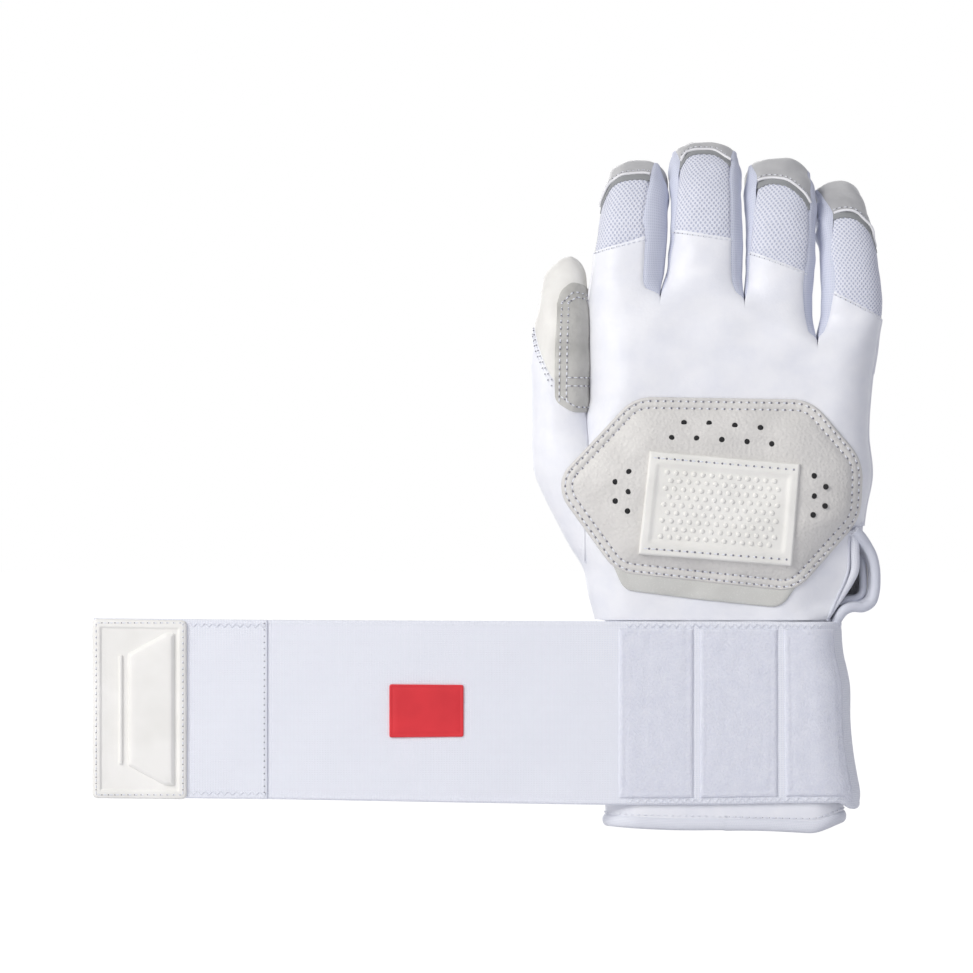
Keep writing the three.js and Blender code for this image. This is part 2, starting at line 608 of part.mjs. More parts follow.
/** Gives the section of a finger or the thumb: a point at an angle round it and a length along it, with
    the skin drawn in by a wall. */
function digitSkin(digit) {
  const length = digit.lower + digit.upper;
  const places = [0, digit.lower, length - digit.tip];
  const station = (values) => profile(places.map((place, i) => [place, values[i]]));
  const left = station(digit.left);
  const right = station(digit.right);
  const depth = station(digit.depth);
  const turn = degToRad(digit.curl);
  const bend = digit.upper / turn;
  const rounded = (share) => Math.sign(share) * Math.abs(share) ** (2 / FINGER_SQUARENESS);
  return (angle, along, wall = 0) => {
    const pitch = turn * clamp((along - digit.lower) / digit.upper, 0, 1);
    const straight = Math.min(along, digit.lower);
    const end = length - wall;
    const dome = clamp((along - (length - digit.tip)) / (end - (length - digit.tip)), 0, 1);
    const closing = Math.sqrt(1 - dome * dome);
    const halfWidth = ((right(along) - left(along)) / 2 - wall) * closing;
    const halfDepth = (depth(along) / 2 - wall) * closing;
    const lift = halfDepth * rounded(Math.cos(angle));
    return new THREE.Vector3(
      (left(along) + right(along)) / 2 + halfWidth * rounded(Math.sin(angle)),
      bend * (1 - Math.cos(pitch)) - lift * Math.cos(pitch),
      digit.base + straight + bend * Math.sin(pitch) + lift * Math.sin(pitch),
    );
  };
}

/** Makes a wall of a digit between two angles in degrees and two lengths along it. */
function digitWall(digit, angles, from, to, wall, uSteps, vSteps) {
  const skin = digitSkin(digit);
  const gap = SEAM / (digit.depth[1] / 2) / 2;
  const first = degToRad(angles[0]) + gap;
  const last = degToRad(angles[1]) - gap;
  const face = (inset) => (u, v) => skin(lerp(first, last, u), lerp(from, to, v), inset);
  return sheet(face(0), face(wall), uSteps, vSteps);
}

/** Makes the closed end of a digit from a length along it. */
function digitEnd(digit, from, wall, uSteps, vSteps) {
  const skin = digitSkin(digit);
  const length = digit.lower + digit.upper;
  const face = (inset) => (u, v) => {
    const eased = Math.sin(v * RIGHT_ANGLE);
    return skin(2 * Math.PI * u, lerp(from, length - inset, eased), inset);
  };
  return sheet(face(0), face(wall), uSteps, vSteps, { ring: true, dome: true });
}

/** Finds the place of a joint on the palm face of a digit at a length along it. */
function digitPivot(digit, along) {
  return digitSkin(digit)(Math.PI, along).setX((digit.left[0] + digit.right[0]) / 2);
}

const flexAxis = new THREE.Vector3(-1, 0, 0);

FINGERS.forEach((finger) => {
  const { name, lower } = finger;
  const capStart = lower + finger.cap;
  const base = body(hand, `${name}_knuckle`, digitPivot(finger, 0), flexAxis);
  const tip = body(base, `${name}_middle`, digitPivot(finger, lower), flexAxis);
  const [backLeftSeam, backRightSeam] = finger.back;
  const [palmRightSeam, palmLeftSeam] = finger.palm;
  const walls = [
    { where: "ulnar", angles: [backRightSeam, palmRightSeam] },
    { where: "radial", angles: [palmLeftSeam, backLeftSeam + FULL_TURN] },
  ].filter(({ angles }) => angles[1] - angles[0] > SMALLEST_SIDE);
  const lowerWall = (angles, wall, steps) => {
    return digitWall(finger, angles, 0, lower - SEAM, wall, steps, LOWER_STEPS);
  };
  const upperWall = (angles, wall, steps) => {
    return digitWall(finger, angles, lower, capStart - SEAM, wall, steps, UPPER_STEPS);
  };
  piece(base, `${name}_base_back`, lowerWall(finger.back, LEATHER, BROAD_STEPS), WHITE_LEATHER);
  piece(base, `${name}_base_palm`, lowerWall(finger.palm, LEATHER, BROAD_STEPS), PALM_LEATHER);
  piece(tip, `${name}_mesh`, upperWall(finger.back, KNIT, BROAD_STEPS), MESH_KNIT);
  walls.forEach(({ where, angles }) => {
    piece(base, `${name}_base_side_${where}`, lowerWall(angles, LYCRA, NARROW_STEPS), STRETCH);
    piece(tip, `${name}_tip_side_${where}`, upperWall(angles, LYCRA, NARROW_STEPS), STRETCH);
  });
  const undersideTop = capStart + CAP_OVERLAP;
  const underside = digitWall(finger, finger.palm, lower, undersideTop, LEATHER, BROAD_STEPS, UPPER_STEPS);
  const cap = digitEnd(finger, capStart, LEATHER, CAP_TURN_STEPS, CAP_STEPS);
  piece(tip, `${name}_tip`, joined(underside, cap), TIP_LEATHER);
  const skin = digitSkin(finger);
  const pipingPath = Array.from({ length: PIPING_SPOTS }, (_, i) => {
    const angle = degToRad(lerp(...finger.back, i / (PIPING_SPOTS - 1)));
    return skin(angle, capStart - SEAM / 2, -PIPING_RADIUS - PLY);
  });
  piece(tip, `${name}_piping`, cord(pipingPath, PIPING_RADIUS, PIPING_SIDES, PIPING_STEPS), PIPING_CORD);
});

// Thumb: swings out about its outer corner, with the tip leather turned round the sewn wear patch
const thumbPivot = new THREE.Vector3(THUMB.left[0], 0, THUMB.base);
const thumb = body(hand, "thumb_swing", thumbPivot, new THREE.Vector3(0, -1, 0));
const thumbCap = THUMB.lower + THUMB.cap;
const thumbOuterAngles = [THUMB_PALM[1] - FULL_TURN, THUMB_INNER[0]];
const thumbWall = (angles, to) => digitWall(THUMB, angles, 0, to, LEATHER, BROAD_STEPS, THUMB_STEPS);
const thumbEnd = digitEnd(THUMB, thumbCap, LEATHER, CAP_TURN_STEPS, CAP_STEPS);
const thumbBack = thumbWall(thumbOuterAngles, thumbCap + CAP_OVERLAP);
piece(thumb, "thumb_outer", joined(thumbBack, thumbEnd), WHITE_LEATHER);
piece(thumb, "thumb_inner", thumbWall(THUMB_INNER, thumbCap - SEAM), GRAIN_LEATHER);
piece(thumb, "thumb_palm", thumbWall(THUMB_PALM, thumbCap - SEAM), PALM_LEATHER);

export default glove;
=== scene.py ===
"""A batting glove for the right hand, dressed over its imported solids.

Sizes are millimetres in the glove's own frame: X from the thumb side to the little finger, Y from the back
of the hand to the palm, Z up the fingers. Meshes are written in metres.
"""
import json
import logging
import math
from dataclasses import dataclass, field
from enum import Enum
from functools import partial
from typing import Callable, ClassVar, Sequence

import bmesh
import bpy
import numpy as np
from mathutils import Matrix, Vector

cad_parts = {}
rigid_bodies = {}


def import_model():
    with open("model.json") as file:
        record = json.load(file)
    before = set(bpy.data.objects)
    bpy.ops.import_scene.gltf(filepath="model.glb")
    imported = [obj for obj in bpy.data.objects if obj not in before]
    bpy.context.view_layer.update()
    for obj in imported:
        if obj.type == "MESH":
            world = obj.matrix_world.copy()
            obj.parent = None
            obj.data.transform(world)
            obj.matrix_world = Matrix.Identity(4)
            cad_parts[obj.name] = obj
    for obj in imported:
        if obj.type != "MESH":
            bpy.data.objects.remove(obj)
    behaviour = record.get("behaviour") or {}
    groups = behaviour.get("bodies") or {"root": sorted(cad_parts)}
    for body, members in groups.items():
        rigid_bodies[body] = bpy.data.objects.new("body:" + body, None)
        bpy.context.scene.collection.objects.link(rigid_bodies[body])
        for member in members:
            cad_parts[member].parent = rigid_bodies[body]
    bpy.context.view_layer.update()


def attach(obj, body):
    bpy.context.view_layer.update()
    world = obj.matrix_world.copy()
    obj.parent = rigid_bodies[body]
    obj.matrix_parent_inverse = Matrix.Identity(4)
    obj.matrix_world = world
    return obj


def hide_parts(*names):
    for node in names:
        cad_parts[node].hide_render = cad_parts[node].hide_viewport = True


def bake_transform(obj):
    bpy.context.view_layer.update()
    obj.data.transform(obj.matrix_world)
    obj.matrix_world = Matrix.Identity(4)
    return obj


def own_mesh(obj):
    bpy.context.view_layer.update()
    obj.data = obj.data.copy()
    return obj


log = logging.getLogger("glove")

Array = np.ndarray
Curve = Callable[[Array], Array]
Pair = tuple[float, float]
Trio = tuple[float, float, float]
Stations = tuple[Pair, ...]
Spots = tuple[Trio, ...]
Piece = bpy.types.Object
Tree = bpy.types.NodeTree
Node = bpy.types.Node
Socket = bpy.types.NodeSocket

MM = 0.001
UV_NAME = "panel_mm"
SHARP_ANGLE = 50.0
MERGE_GAP = 2e-6
TINY_EDGE = 1e-7
WAVE_COUNT = 7
SEAM_REACH = 0.7
OUT_OF_BACK = (0.0, -1.0, 0.0)
OUT_OF_PALM = (0.0, 1.0, 0.0)


def linear(colour: str) -> tuple[float, float, float, float]:
    """Turns an sRGB hex colour into linear RGBA.

    Args:
        colour: The colour as #rrggbb.

    Returns:
        The linear colour with full alpha.
    """
    parts = [int(colour[i:i + 2], 16) / 255 for i in (1, 3, 5)]
    red, green, blue = [p / 12.92 if p <= 0.04045 else ((p + 0.055) / 1.055) ** 2.4 for p in parts]
    return red, green, blue, 1.0


def lerp(a: Array, b: Array, share: Array) -> Array:
    """Mixes two values by a share."""
    return a + (b - a) * share


def smooth(value: Array, low: float, high: float) -> Array:
    """Rises smoothly from 0 at low to 1 at high."""
    share = np.clip((value - low) / (high - low), 0.0, 1.0)
    return share * share * (3.0 - 2.0 * share)


def rounded(share: Array, squareness: float = 2.4) -> Array:
    """Fills out a sine or cosine so that a round section turns a little square."""
    return np.sign(share) * np.abs(share) ** (2.0 / squareness)


def round_edge(inset: Array, radius: Array) -> Array:
    """Gives the share of full depth at a distance in from a rounded edge."""
    away = 1.0 - np.clip(inset / radius, 0.0, 1.0)
    return np.sqrt(1.0 - away * away)


def to_points(x: Array, y: Array, z: Array) -> Array:
    """Joins coordinates, spread to one shape, into points."""
    return np.stack(np.broadcast_arrays(x, y, z), axis=-1)


def spread(count: int, gather: float = 0.7) -> Array:
    """Spaces values from 0 to 1 that gather towards both ends."""
    even = np.linspace(0.0, 1.0, count)
    return lerp(even, (1.0 - np.cos(math.pi * even)) / 2.0, gather)


def ripple(across: Array, along: Array, seed: int, length: float, height: float) -> Array:
    """Gives soft, irregular waves over a surface.

    Args:
        across: First coordinate.
        along: Second coordinate.
        seed: Fixed seed of the waves.
        length: Typical wave length.
        height: Typical wave height.

    Returns:
        The height of the waves at each place.
    """
    chance = np.random.default_rng(seed)
    total = np.zeros(np.broadcast(across, along).shape)
    for _ in range(WAVE_COUNT):
        turn = chance.uniform(0.0, math.pi)
        rate = 2.0 * math.pi / (length * chance.uniform(0.7, 1.7))
        shift = chance.uniform(0.0, 2.0 * math.pi)
        total = total + np.sin(rate * (across * math.cos(turn) + along * math.sin(turn)) + shift)
    return total * height / 3.0


class Profile:
    """A smooth curve through (place, value) stations, level past both ends."""

    def __init__(self, *stations: Pair) -> None:
        """Works out the slope at each station.

        Args:
            *stations: Pairs of place and value, in order of place.
        """
        self.places = np.array([place for place, _ in stations], float)
        self.values = np.array([value for _, value in stations], float)
        steps = np.diff(self.values) / np.diff(self.places)
        slopes = np.empty_like(self.values)
        slopes[1:-1] = (self.values[2:] - self.values[:-2]) / (self.places[2:] - self.places[:-2])
        slopes[0] = steps[0] if len(steps) == 1 else 1.5 * steps[0] - 0.5 * slopes[1]
        slopes[-1] = steps[-1] if len(steps) == 1 else 1.5 * steps[-1] - 0.5 * slopes[-2]
        self.slopes = slopes

    def __call__(self, place: Array) -> Array:
        """Reads the curve.

        Args:
            place: Where to read it.

        Returns:
            The value there.
        """
        spot = np.clip(place, self.places[0], self.places[-1])
        i = np.clip(np.searchsorted(self.places, spot, side="right") - 1, 0, len(self.places) - 2)
        gap = self.places[i + 1] - self.places[i]
        t = (spot - self.places[i]) / gap
        start = self.values[i] * (1 + 2 * t) * (1 - t) ** 2 + self.slopes[i] * gap * t * (1 - t) ** 2
        end = self.values[i + 1] * t * t * (3 - 2 * t) + self.slopes[i + 1] * gap * t * t * (t - 1)
        return start + end


class Edge(Enum):
    """The four edges of a panel's grid."""

    LEFT = "left"
    RIGHT = "right"
    BOTTOM = "bottom"
    TOP = "top"


SIDES = (Edge.LEFT, Edge.RIGHT)


def arc_lengths(grid: Array, axis: int) -> Array:
    """Adds up the distances between neighbouring points of a grid along one axis.

    Args:
        grid: Points as rows by columns by 3.
        axis: 0 up the rows, 1 across the columns.

    Returns:
        The length at each point.
    """
    steps = np.linalg.norm(np.diff(grid, axis=axis), axis=2)
    start = np.zeros_like(steps.take([0], axis=axis))
    return np.concatenate([start, np.cumsum(steps, axis=axis)], axis=axis)


def grid_normals(grid: Array, ring: bool) -> Array:
    """Gives the outward direction at each point of a grid.

    Args:
        grid: Points as rows by columns by 3.
        ring: Whether the columns close on themselves.

    Returns:
        Unit vectors of the same shape.
    """
    wide = np.concatenate([grid[:, -1:], grid, grid[:, :1]], axis=1) if ring else grid
    across = np.gradient(wide, axis=1)
    across = across[:, 1:-1] if ring else across
    normal = np.cross(across, np.gradient(grid, axis=0))
    size = np.linalg.norm(normal, axis=2, keepdims=True)
    normal = normal / np.maximum(size, 1e-9)
    for row, near in ((0, 1), (-1, -2)):
        if size[row].max() < 1e-6:
            middle = normal[near].mean(axis=0)
            normal[row] = middle / max(np.linalg.norm(middle), 1e-9)
    return normal


@dataclass
class Panel:
    """A sheet of material between an outer and an inner grid of points.

    Attributes:
        outer: Outside points, rows by columns by 3; columns cross rows is outward.
        inner: Inside points, of the same shape.
        ring: Whether the columns close on themselves.
        uv: Flat coordinates in millimetres, rows by columns by 2.
    """

    outer: Array
    inner: Array
    ring: bool = False
    uv: Array | None = None

    @classmethod
    def skin(cls, outer: Array, wall: float, ring: bool = False, seams: Sequence[Edge] = (),
             uv: Array | None = None, dip: Array = 0.35) -> "Panel":
        """Makes a panel of even thickness behind its outside face.

        Args:
            outer: Outside points.
            wall: Thickness.
            ring: Whether the columns close on themselves.
            seams: Edges that turn down into a seam.
            uv: Flat coordinates, or None to measure them.
            dip: How far a seam edge turns down, over all or at each point.

        Returns:
            The panel.
        """
        normal = grid_normals(outer, ring)
        drop = np.zeros(outer.shape[:2])
        for edge in seams:
            lengths = arc_lengths(outer, 0 if edge in (Edge.BOTTOM, Edge.TOP) else 1)
            if edge is Edge.TOP:
                lengths = lengths[-1:] - lengths
            if edge is Edge.RIGHT:
                lengths = lengths[:, -1:] - lengths
            drop = np.maximum(drop, dip * np.exp(-(lengths / SEAM_REACH) ** 2))
        face = outer - normal * drop[..., None]
        return cls(face, outer - normal * wall, ring, uv)

    def flat(self) -> Array:
        """Gives the flat coordinates, measured along the outside where none were given.

        Returns:
            The coordinates as rows by columns by 2.
        """
        if self.uv is not None:
            return self.uv
        across = arc_lengths(self.outer, 1)
        middle = across[:, across.shape[1] // 2][:, None]
        return np.stack([across - middle, arc_lengths(self.outer, 0)], axis=2)

    def faces(self, start: int) -> list[tuple[int, ...]]:
        """Lists the panel's faces.

        Args:
            start: Index of the panel's first point.

        Returns:
            Vertex indices of each face, all facing out.
        """
        rows, columns = self.outer.shape[:2]
        out = np.arange(rows * columns).reshape(rows, columns) + start
        out = np.concatenate([out, out[:, :1]], axis=1) if self.ring else out
        into = out + rows * columns
        quads = [np.stack([out[:-1, :-1], out[:-1, 1:], out[1:, 1:], out[1:, :-1]], axis=2),
                 np.stack([into[:-1, :-1], into[1:, :-1], into[1:, 1:], into[:-1, 1:]], axis=2),
                 np.stack([out[:1, :-1], into[:1, :-1], into[:1, 1:], out[:1, 1:]], axis=2),
                 np.stack([out[-1:, :-1], out[-1:, 1:], into[-1:, 1:], into[-1:, :-1]], axis=2)]
        if not self.ring:
            quads.append(np.stack([out[:-1, :1], out[1:, :1], into[1:, :1], into[:-1, :1]], axis=2))
            quads.append(np.stack([out[:-1, -1:], into[:-1, -1:], into[1:, -1:], out[1:, -1:]], axis=2))
        return [tuple(face) for part in quads for face in part.reshape(-1, 4).tolist()]


def add_node(tree: Tree, kind: str, inputs: dict | None = None, **settings: object) -> Node:
    """Adds a node with its settings, and fills or links its inputs.

    Args:
        tree: The tree that gets the node.
        kind: The node's type name.
        inputs: Values, sockets, or nodes for their first output, by input name or number.
        **settings: The node's own properties.

    Returns:
        The node.
    """
    made = tree.nodes.new(kind)
    for name, value in settings.items():
        setattr(made, name, value)
    for key, value in (inputs or {}).items():
        source = value.outputs[0] if isinstance(value, Node) else value
        if isinstance(source, Socket):
            tree.links.new(source, made.inputs[key])
        else:
            made.inputs[key].default_value = source
    return made


def per_metre(size: float) -> float:
    """Gives the pattern scale whose cells measure a size in millimetres."""
    return 1.0 / (size * MM)


@dataclass(frozen=True)
class Finish:
    """A finish: what a surface is made of and how it was made.

    Attributes:
        name: The material's plain name.
        colour: Its sRGB colour.
        shade: The sRGB colour of its hollows.
        roughness: Its surface roughness.
        slot: The record's material slot.
    """

    name: str
    colour: str
    shade: str
    roughness: float
    slot: str

    def material(self) -> bpy.types.Material:
        """Gives the material, made once.

        Returns:
            The material.
        """
        known = bpy.data.materials.get(self.name)
        if known is not None:
            return known
        made = bpy.data.materials.new(self.name)
        made.use_nodes = True
        shader = made.node_tree.nodes["Principled BSDF"]
        shader.inputs["Roughness"].default_value = self.roughness
        shader.inputs["IOR"].default_value = 1.5
        self.dress(made.node_tree, shader)
        made.diffuse_color = linear(self.colour)
        return made

    def dress(self, tree: Tree, shader: Node) -> None:
        """Adds the finish's own pattern."""
        shader.inputs["Base Color"].default_value = linear(self.colour)

    def tint(self, tree: Tree, shader: Node, mask: Node) -> None:
        """Mixes the colour with its shade by a mask that is 1 in the hollows.

        Args:
            tree: The material's tree.
            shader: The material's shader.
            mask: The pattern.
        """
        mixed = add_node(tree, "ShaderNodeMix", {"Factor": mask}, data_type="RGBA")
        for name, value in (("A", self.colour), ("B", self.shade)):
            sockets = [s for s in mixed.inputs if s.name == name and s.type == "RGBA"]
            sockets[0].default_value = linear(value)
        result = [s for s in mixed.outputs if s.type == "RGBA"][0]
        tree.links.new(result, shader.inputs["Base Color"])

    def relief(self, tree: Tree, shader: Node, height: Node, strength: float, depth: float) -> None:
        """Raises the surface by a height pattern.

        Args:
            tree: The material's tree.
            shader: The material's shader.
            height: The pattern.
            strength: Share of the relief that shows.
            depth: Depth of the relief in millimetres.
        """
        bump = add_node(tree, "ShaderNodeBump",
                        {"Height": height, "Strength": strength, "Distance": depth * MM})
        tree.links.new(bump.outputs["Normal"], shader.inputs["Normal"])

    def soften(self, shader: Node, weight: float, roughness: float) -> None:
        """Gives the yarns' soft edge light."""
        shader.inputs["Sheen Weight"].default_value = weight
        shader.inputs["Sheen Roughness"].default_value = roughness


@dataclass(frozen=True)
class Leather(Finish):
    """Tanned sheepskin: a fine pebbled grain, and wrinkles where the skin has been worked.

    Attributes:
        grain: Width of a grain cell in millimetres, about twice as coarse as real so that it shows.
        grain_depth: Depth of the grain in millimetres.
        crease: Depth of the wrinkles in millimetres.
        gloss: Strength of the dressed top coat.
        wrinkle: Spacing of the wrinkles in millimetres.
        worked: Width in millimetres of the patches that wrinkle.
        mottle: Width of the mottling in millimetres.
    """

    grain: float = 0.9
    grain_depth: float = 0.05
    crease: float = 0.05
    gloss: float = 0.1
    wrinkle: float = 7.0
    worked: float = 34.0
    mottle: float = 9.0

    def dress(self, tree: Tree, shader: Node) -> None:
        """Adds grain cells, wrinkles and a faint mottling.

        Args:
            tree: The material's tree.
            shader: The material's shader.
        """
        place = add_node(tree, "ShaderNodeTexCoord").outputs["Object"]
        cells = add_node(tree, "ShaderNodeTexVoronoi", {"Vector": place, "Scale": per_metre(self.grain)},
                         feature="SMOOTH_F1").outputs["Distance"]
        waves = add_node(tree, "ShaderNodeTexNoise",
                         {"Vector": place, "Scale": per_metre(self.wrinkle), "Detail": 3.0},
                         noise_type="RIDGED_MULTIFRACTAL")
        patch = add_node(tree, "ShaderNodeTexNoise",
                         {"Vector": place, "Scale": per_metre(self.worked), "Detail": 2.0})
        share = add_node(tree, "ShaderNodeMapRange", {"Value": patch, "From Min": 0.4, "From Max": 0.62})
        creases = add_node(tree, "ShaderNodeMath", {0: waves, 1: share}, operation="MULTIPLY")
        deep = add_node(tree, "ShaderNodeMath", {0: creases, 1: self.crease}, operation="MULTIPLY")
        height = add_node(tree, "ShaderNodeMath", {0: cells, 1: -self.grain_depth, 2: deep},
                          operation="MULTIPLY_ADD")
        self.relief(tree, shader, height, 0.8, 1.0)
        mottle = add_node(tree, "ShaderNodeTexNoise",
                          {"Vector": place, "Scale": per_metre(self.mottle), "Detail": 4.0})
        hollow = add_node(tree, "ShaderNodeMapRange", {"Value": mottle, "From Min": 0.35, "From Max": 0.8})
        self.tint(tree, shader, hollow)
        dull = add_node(tree, "ShaderNodeMapRange", {
            "Value": cells, "From Max": 0.7,
            "To Min": self.roughness - 0.05, "To Max": self.roughness + 0.1})
        tree.links.new(dull.outputs[0], shader.inputs["Roughness"])
        shader.inputs["Coat Weight"].default_value = self.gloss
        shader.inputs["Coat Roughness"].default_value = 0.35


@dataclass(frozen=True)
class OpenKnit(Finish):
    """Warp-knit polyester mesh: staggered small holes between soft matt yarns.

    Attributes:
        across: Hole spacing in a row in millimetres, drawn coarser than real so that it shows.
        rows: Spacing of the rows in millimetres.
    """

    across: float = 1.7
    rows: float = 0.8

    def dress(self, tree: Tree, shader: Node) -> None:
        """Adds the staggered holes on the panel's own flat coordinates.

        Args:
            tree: The material's tree.
            shader: The material's shader.
        """
        flat = add_node(tree, "ShaderNodeUVMap", uv_map=UV_NAME)
        half = math.sqrt(2.0)
        turned = add_node(tree, "ShaderNodeMapping", {
            "Vector": flat, "Scale": (half / self.across, 1.0 / half / self.rows, 1.0),
            "Rotation": (0.0, 0.0, math.radians(45.0))})
        holes = add_node(tree, "ShaderNodeTexVoronoi", {"Vector": turned, "Scale": 1.0, "Randomness": 0.0},
                         voronoi_dimensions="2D").outputs["Distance"]
        yarn = add_node(tree, "ShaderNodeMapRange", {"Value": holes, "From Min": 0.16, "From Max": 0.42},
                        interpolation_type="SMOOTHSTEP")
        open_part = add_node(tree, "ShaderNodeMath", {0: 1.0, 1: yarn}, operation="SUBTRACT")
        self.tint(tree, shader, open_part)
        self.relief(tree, shader, yarn, 0.7, 0.3)
        self.soften(shader, 0.2, 0.5)


@dataclass(frozen=True)
class Woven(Finish):
    """Woven elastic or stretch cloth: ribs of warp yarn crossed by finer weft.

    Attributes:
        warp: Rib spacing in millimetres, drawn coarser than the yarn so that it shows.
        weft: Crossing yarn spacing in millimetres.
        depth: Depth of the ribs in millimetres.
        sheen: Strength of the soft edge light.
    """

    warp: float = 1.1
    weft: float = 1.4
    depth: float = 0.12
    sheen: float = 0.15

    def dress(self, tree: Tree, shader: Node) -> None:
        """Adds the two sets of yarns on the panel's own flat coordinates.

        Args:
            tree: The material's tree.
            shader: The material's shader.
        """
        flat = add_node(tree, "ShaderNodeUVMap", uv_map=UV_NAME)
        yarns = []
        for spacing, direction in ((self.warp, "Y"), (self.weft, "X")):
            yarn = add_node(tree, "ShaderNodeTexWave", {
                "Vector": flat, "Scale": math.pi / 10.0 / spacing, "Distortion": 0.25, "Detail Scale": 0.4},
                bands_direction=direction, wave_profile="SIN")
            yarns.append(yarn.outputs["Fac"])
        both = add_node(tree, "ShaderNodeMath", {0: yarns[0], 1: yarns[1]}, operation="ADD")
        gaps = add_node(tree, "ShaderNodeMapRange", {"Value": both, "From Min": 0.9, "From Max": 0.2})
        self.tint(tree, shader, gaps)
        self.relief(tree, shader, both, 0.5, self.depth)
        self.soften(shader, self.sheen, 0.5)


@dataclass(frozen=True)
class Pile(Finish):
    """Brushed nylon loop: a dense short fuzz with a cloudy nap.

    Attributes:
        fuzz: Size of a tuft in millimetres.
        nap: Size of a cloud in the nap in millimetres.
    """

    fuzz: float = 0.9
    nap: float = 5.0

    def dress(self, tree: Tree, shader: Node) -> None:
        """Adds tufts and a slow cloudiness.

        Args:
            tree: The material's tree.
            shader: The material's shader.
        """
        place = add_node(tree, "ShaderNodeTexCoord").outputs["Object"]
        tufts = add_node(tree, "ShaderNodeTexNoise", {
            "Vector": place, "Scale": per_metre(self.fuzz), "Detail": 6.0, "Roughness": 0.7})
        clouds = add_node(tree, "ShaderNodeTexNoise",
                          {"Vector": place, "Scale": per_metre(self.nap), "Detail": 3.0})
        both = add_node(tree, "ShaderNodeMath", {0: clouds, 1: 0.5, 2: tufts}, operation="MULTIPLY_ADD")
        hollow = add_node(tree, "ShaderNodeMapRange", {"Value": both, "From Min": 1.0, "From Max": 0.5})
        self.tint(tree, shader, hollow)
        self.relief(tree, shader, tufts, 0.8, 0.6)
        self.soften(shader, 0.35, 0.6)


@dataclass(frozen=True)
class Moulded(Finish):
    """Moulded soft rubber or coated film: even colour with a faint spark-eroded texture.

    Attributes:
        pitting: Size of the mould texture in millimetres.
        depth: Depth of the texture in millimetres.
        drift: Width of the slow unevenness of colour in millimetres.
    """

    pitting: float = 0.7
    depth: float = 0.04
    drift: float = 14.0

    def dress(self, tree: Tree, shader: Node) -> None:
        """Adds the mould texture and a slight unevenness of gloss.

        Args:
            tree: The material's tree.
            shader: The material's shader.
        """
        place = add_node(tree, "ShaderNodeTexCoord").outputs["Object"]
        pits = add_node(tree, "ShaderNodeTexNoise",
                        {"Vector": place, "Scale": per_metre(self.pitting), "Detail": 3.0})
        drift = add_node(tree, "ShaderNodeTexNoise",
                         {"Vector": place, "Scale": per_metre(self.drift), "Detail": 2.0})
        hollow = add_node(tree, "ShaderNodeMapRange", {"Value": drift, "From Min": 0.4, "From Max": 0.75})
        self.tint(tree, shader, hollow)
        self.relief(tree, shader, pits, 0.6, self.depth)
        dull = add_node(tree, "ShaderNodeMapRange", {
            "Value": pits, "To Min": self.roughness - 0.06, "To Max": self.roughness + 0.08})
        tree.links.new(dull.outputs[0], shader.inputs["Roughness"])


# White dyed sheepskin, dressed with a thin coat: a soft satin white.
WHITE_LEATHER = Leather("white_sheepskin", "#eeeff4", "#e4e6ee", 0.5, "white_leather")
# The same skin left undyed: a little warmer.
CREAM_LEATHER = Leather("cream_sheepskin", "#e9e8e4", "#dedcd8", 0.5, "white_leather")
# Palm skin, worked softer: greyer and more matt.
PALM_LEATHER = Leather("palm_sheepskin", "#d6d5d3", "#c8c7c5", 0.55, "palm_leather")
# Grey dyed skin stretched over the fingertips: a coarser grain with more shine.
TIP_LEATHER = Leather("grey_sheepskin", "#bdbdbe", "#a9a9ab", 0.4, "tip_leather",
                      grain=1.4, grain_depth=0.1, gloss=0.15)
# Embossed cowhide: deep pebbles with dark hollows.
GRAIN_LEATHER = Leather("pebbled_cowhide", "#c6c5c1", "#a9a8a4", 0.55, "grain_leather",
                        grain=1.3, grain_depth=0.22)
# Synthetic leather pressed over foam: an even grain without wrinkles.
PAD_LEATHER = Leather("pad_synthetic_leather", "#dad8d5", "#d0cecb", 0.5, "pad_leather",
                      grain=1.1, grain_depth=0.3, crease=0.0)
# Coated film: smooth, with a clear shine.
PAD_FILM = Moulded("coated_pad_backing", "#cfcfcb", "#c2c2be", 0.25, "pad_backing")
# Injection moulded soft rubber: even, with soft highlights on its edges.
BADGE_RUBBER = Moulded("moulded_badge_rubber", "#efeeea", "#e7e6e1", 0.5, "badge_rubber")
TAB_RUBBER = Moulded("moulded_tab_rubber", "#f0efec", "#e8e7e3", 0.5, "tab_rubber")
# Printed film: flat red with a slight shine.
LABEL_FILM = Moulded("printed_label_film", "#dc2c36", "#cf2530", 0.4, "label")
# A grey band along the edge of each tip leather, under its piping: flat and dull.
TIP_BAND_GREY = Moulded("grey_underlap", "#96989a", "#888a8c", 0.6, "piping")
# Painted shade: dark, dull dots stand for the shaded inside of punched holes and needle holes.
PAINTED_HOLE_SHADE = Moulded("punched_hole_painted_shade", "#17171b", "#0f0f12", 0.8, "pad_leather")
STITCH_HOLE_SHADE = Moulded("needle_hole_painted_shade", "#8a8a93", "#7a7a83", 0.8, "pad_leather")
# Open warp knit: pale yarns with small shaded holes.
KNIT = OpenKnit("warp_knit_mesh", "#e3e5f0", "#bbc0d4", 0.8, "mesh_knit")
# Stretch knit on the fingers' sides: fine ribs, matt, a cool lavender, painted darker than the knit as the
# shade that falls on the sides.
STRETCH_PAINTED_SHADE = Woven("stretch_knit_side_painted_shade", "#d3d7e6", "#c2c7da", 0.75, "stretch_knit",
                warp=0.8, weft=0.8, depth=0.05)
# Woven elastic: fine ribs, pale and matt.
ELASTIC = Woven("woven_elastic", "#eaecf4", "#dfe3ee", 0.8, "elastic", warp=0.8, weft=0.95, depth=0.1)
# Lining cloth deep inside the vent: dull, painted grey as the shade that fills the vent.
PAINTED_SHADE_LINING = Woven("vent_lining", "#b2b3b6", "#98999c", 0.9, "binding", warp=0.7, weft=0.7)
# Brushed nylon loop: a pale fuzz with no highlights.
LOOP = Pile("brushed_loop", "#eceef7", "#dcdfed", 0.95, "loop_pile")
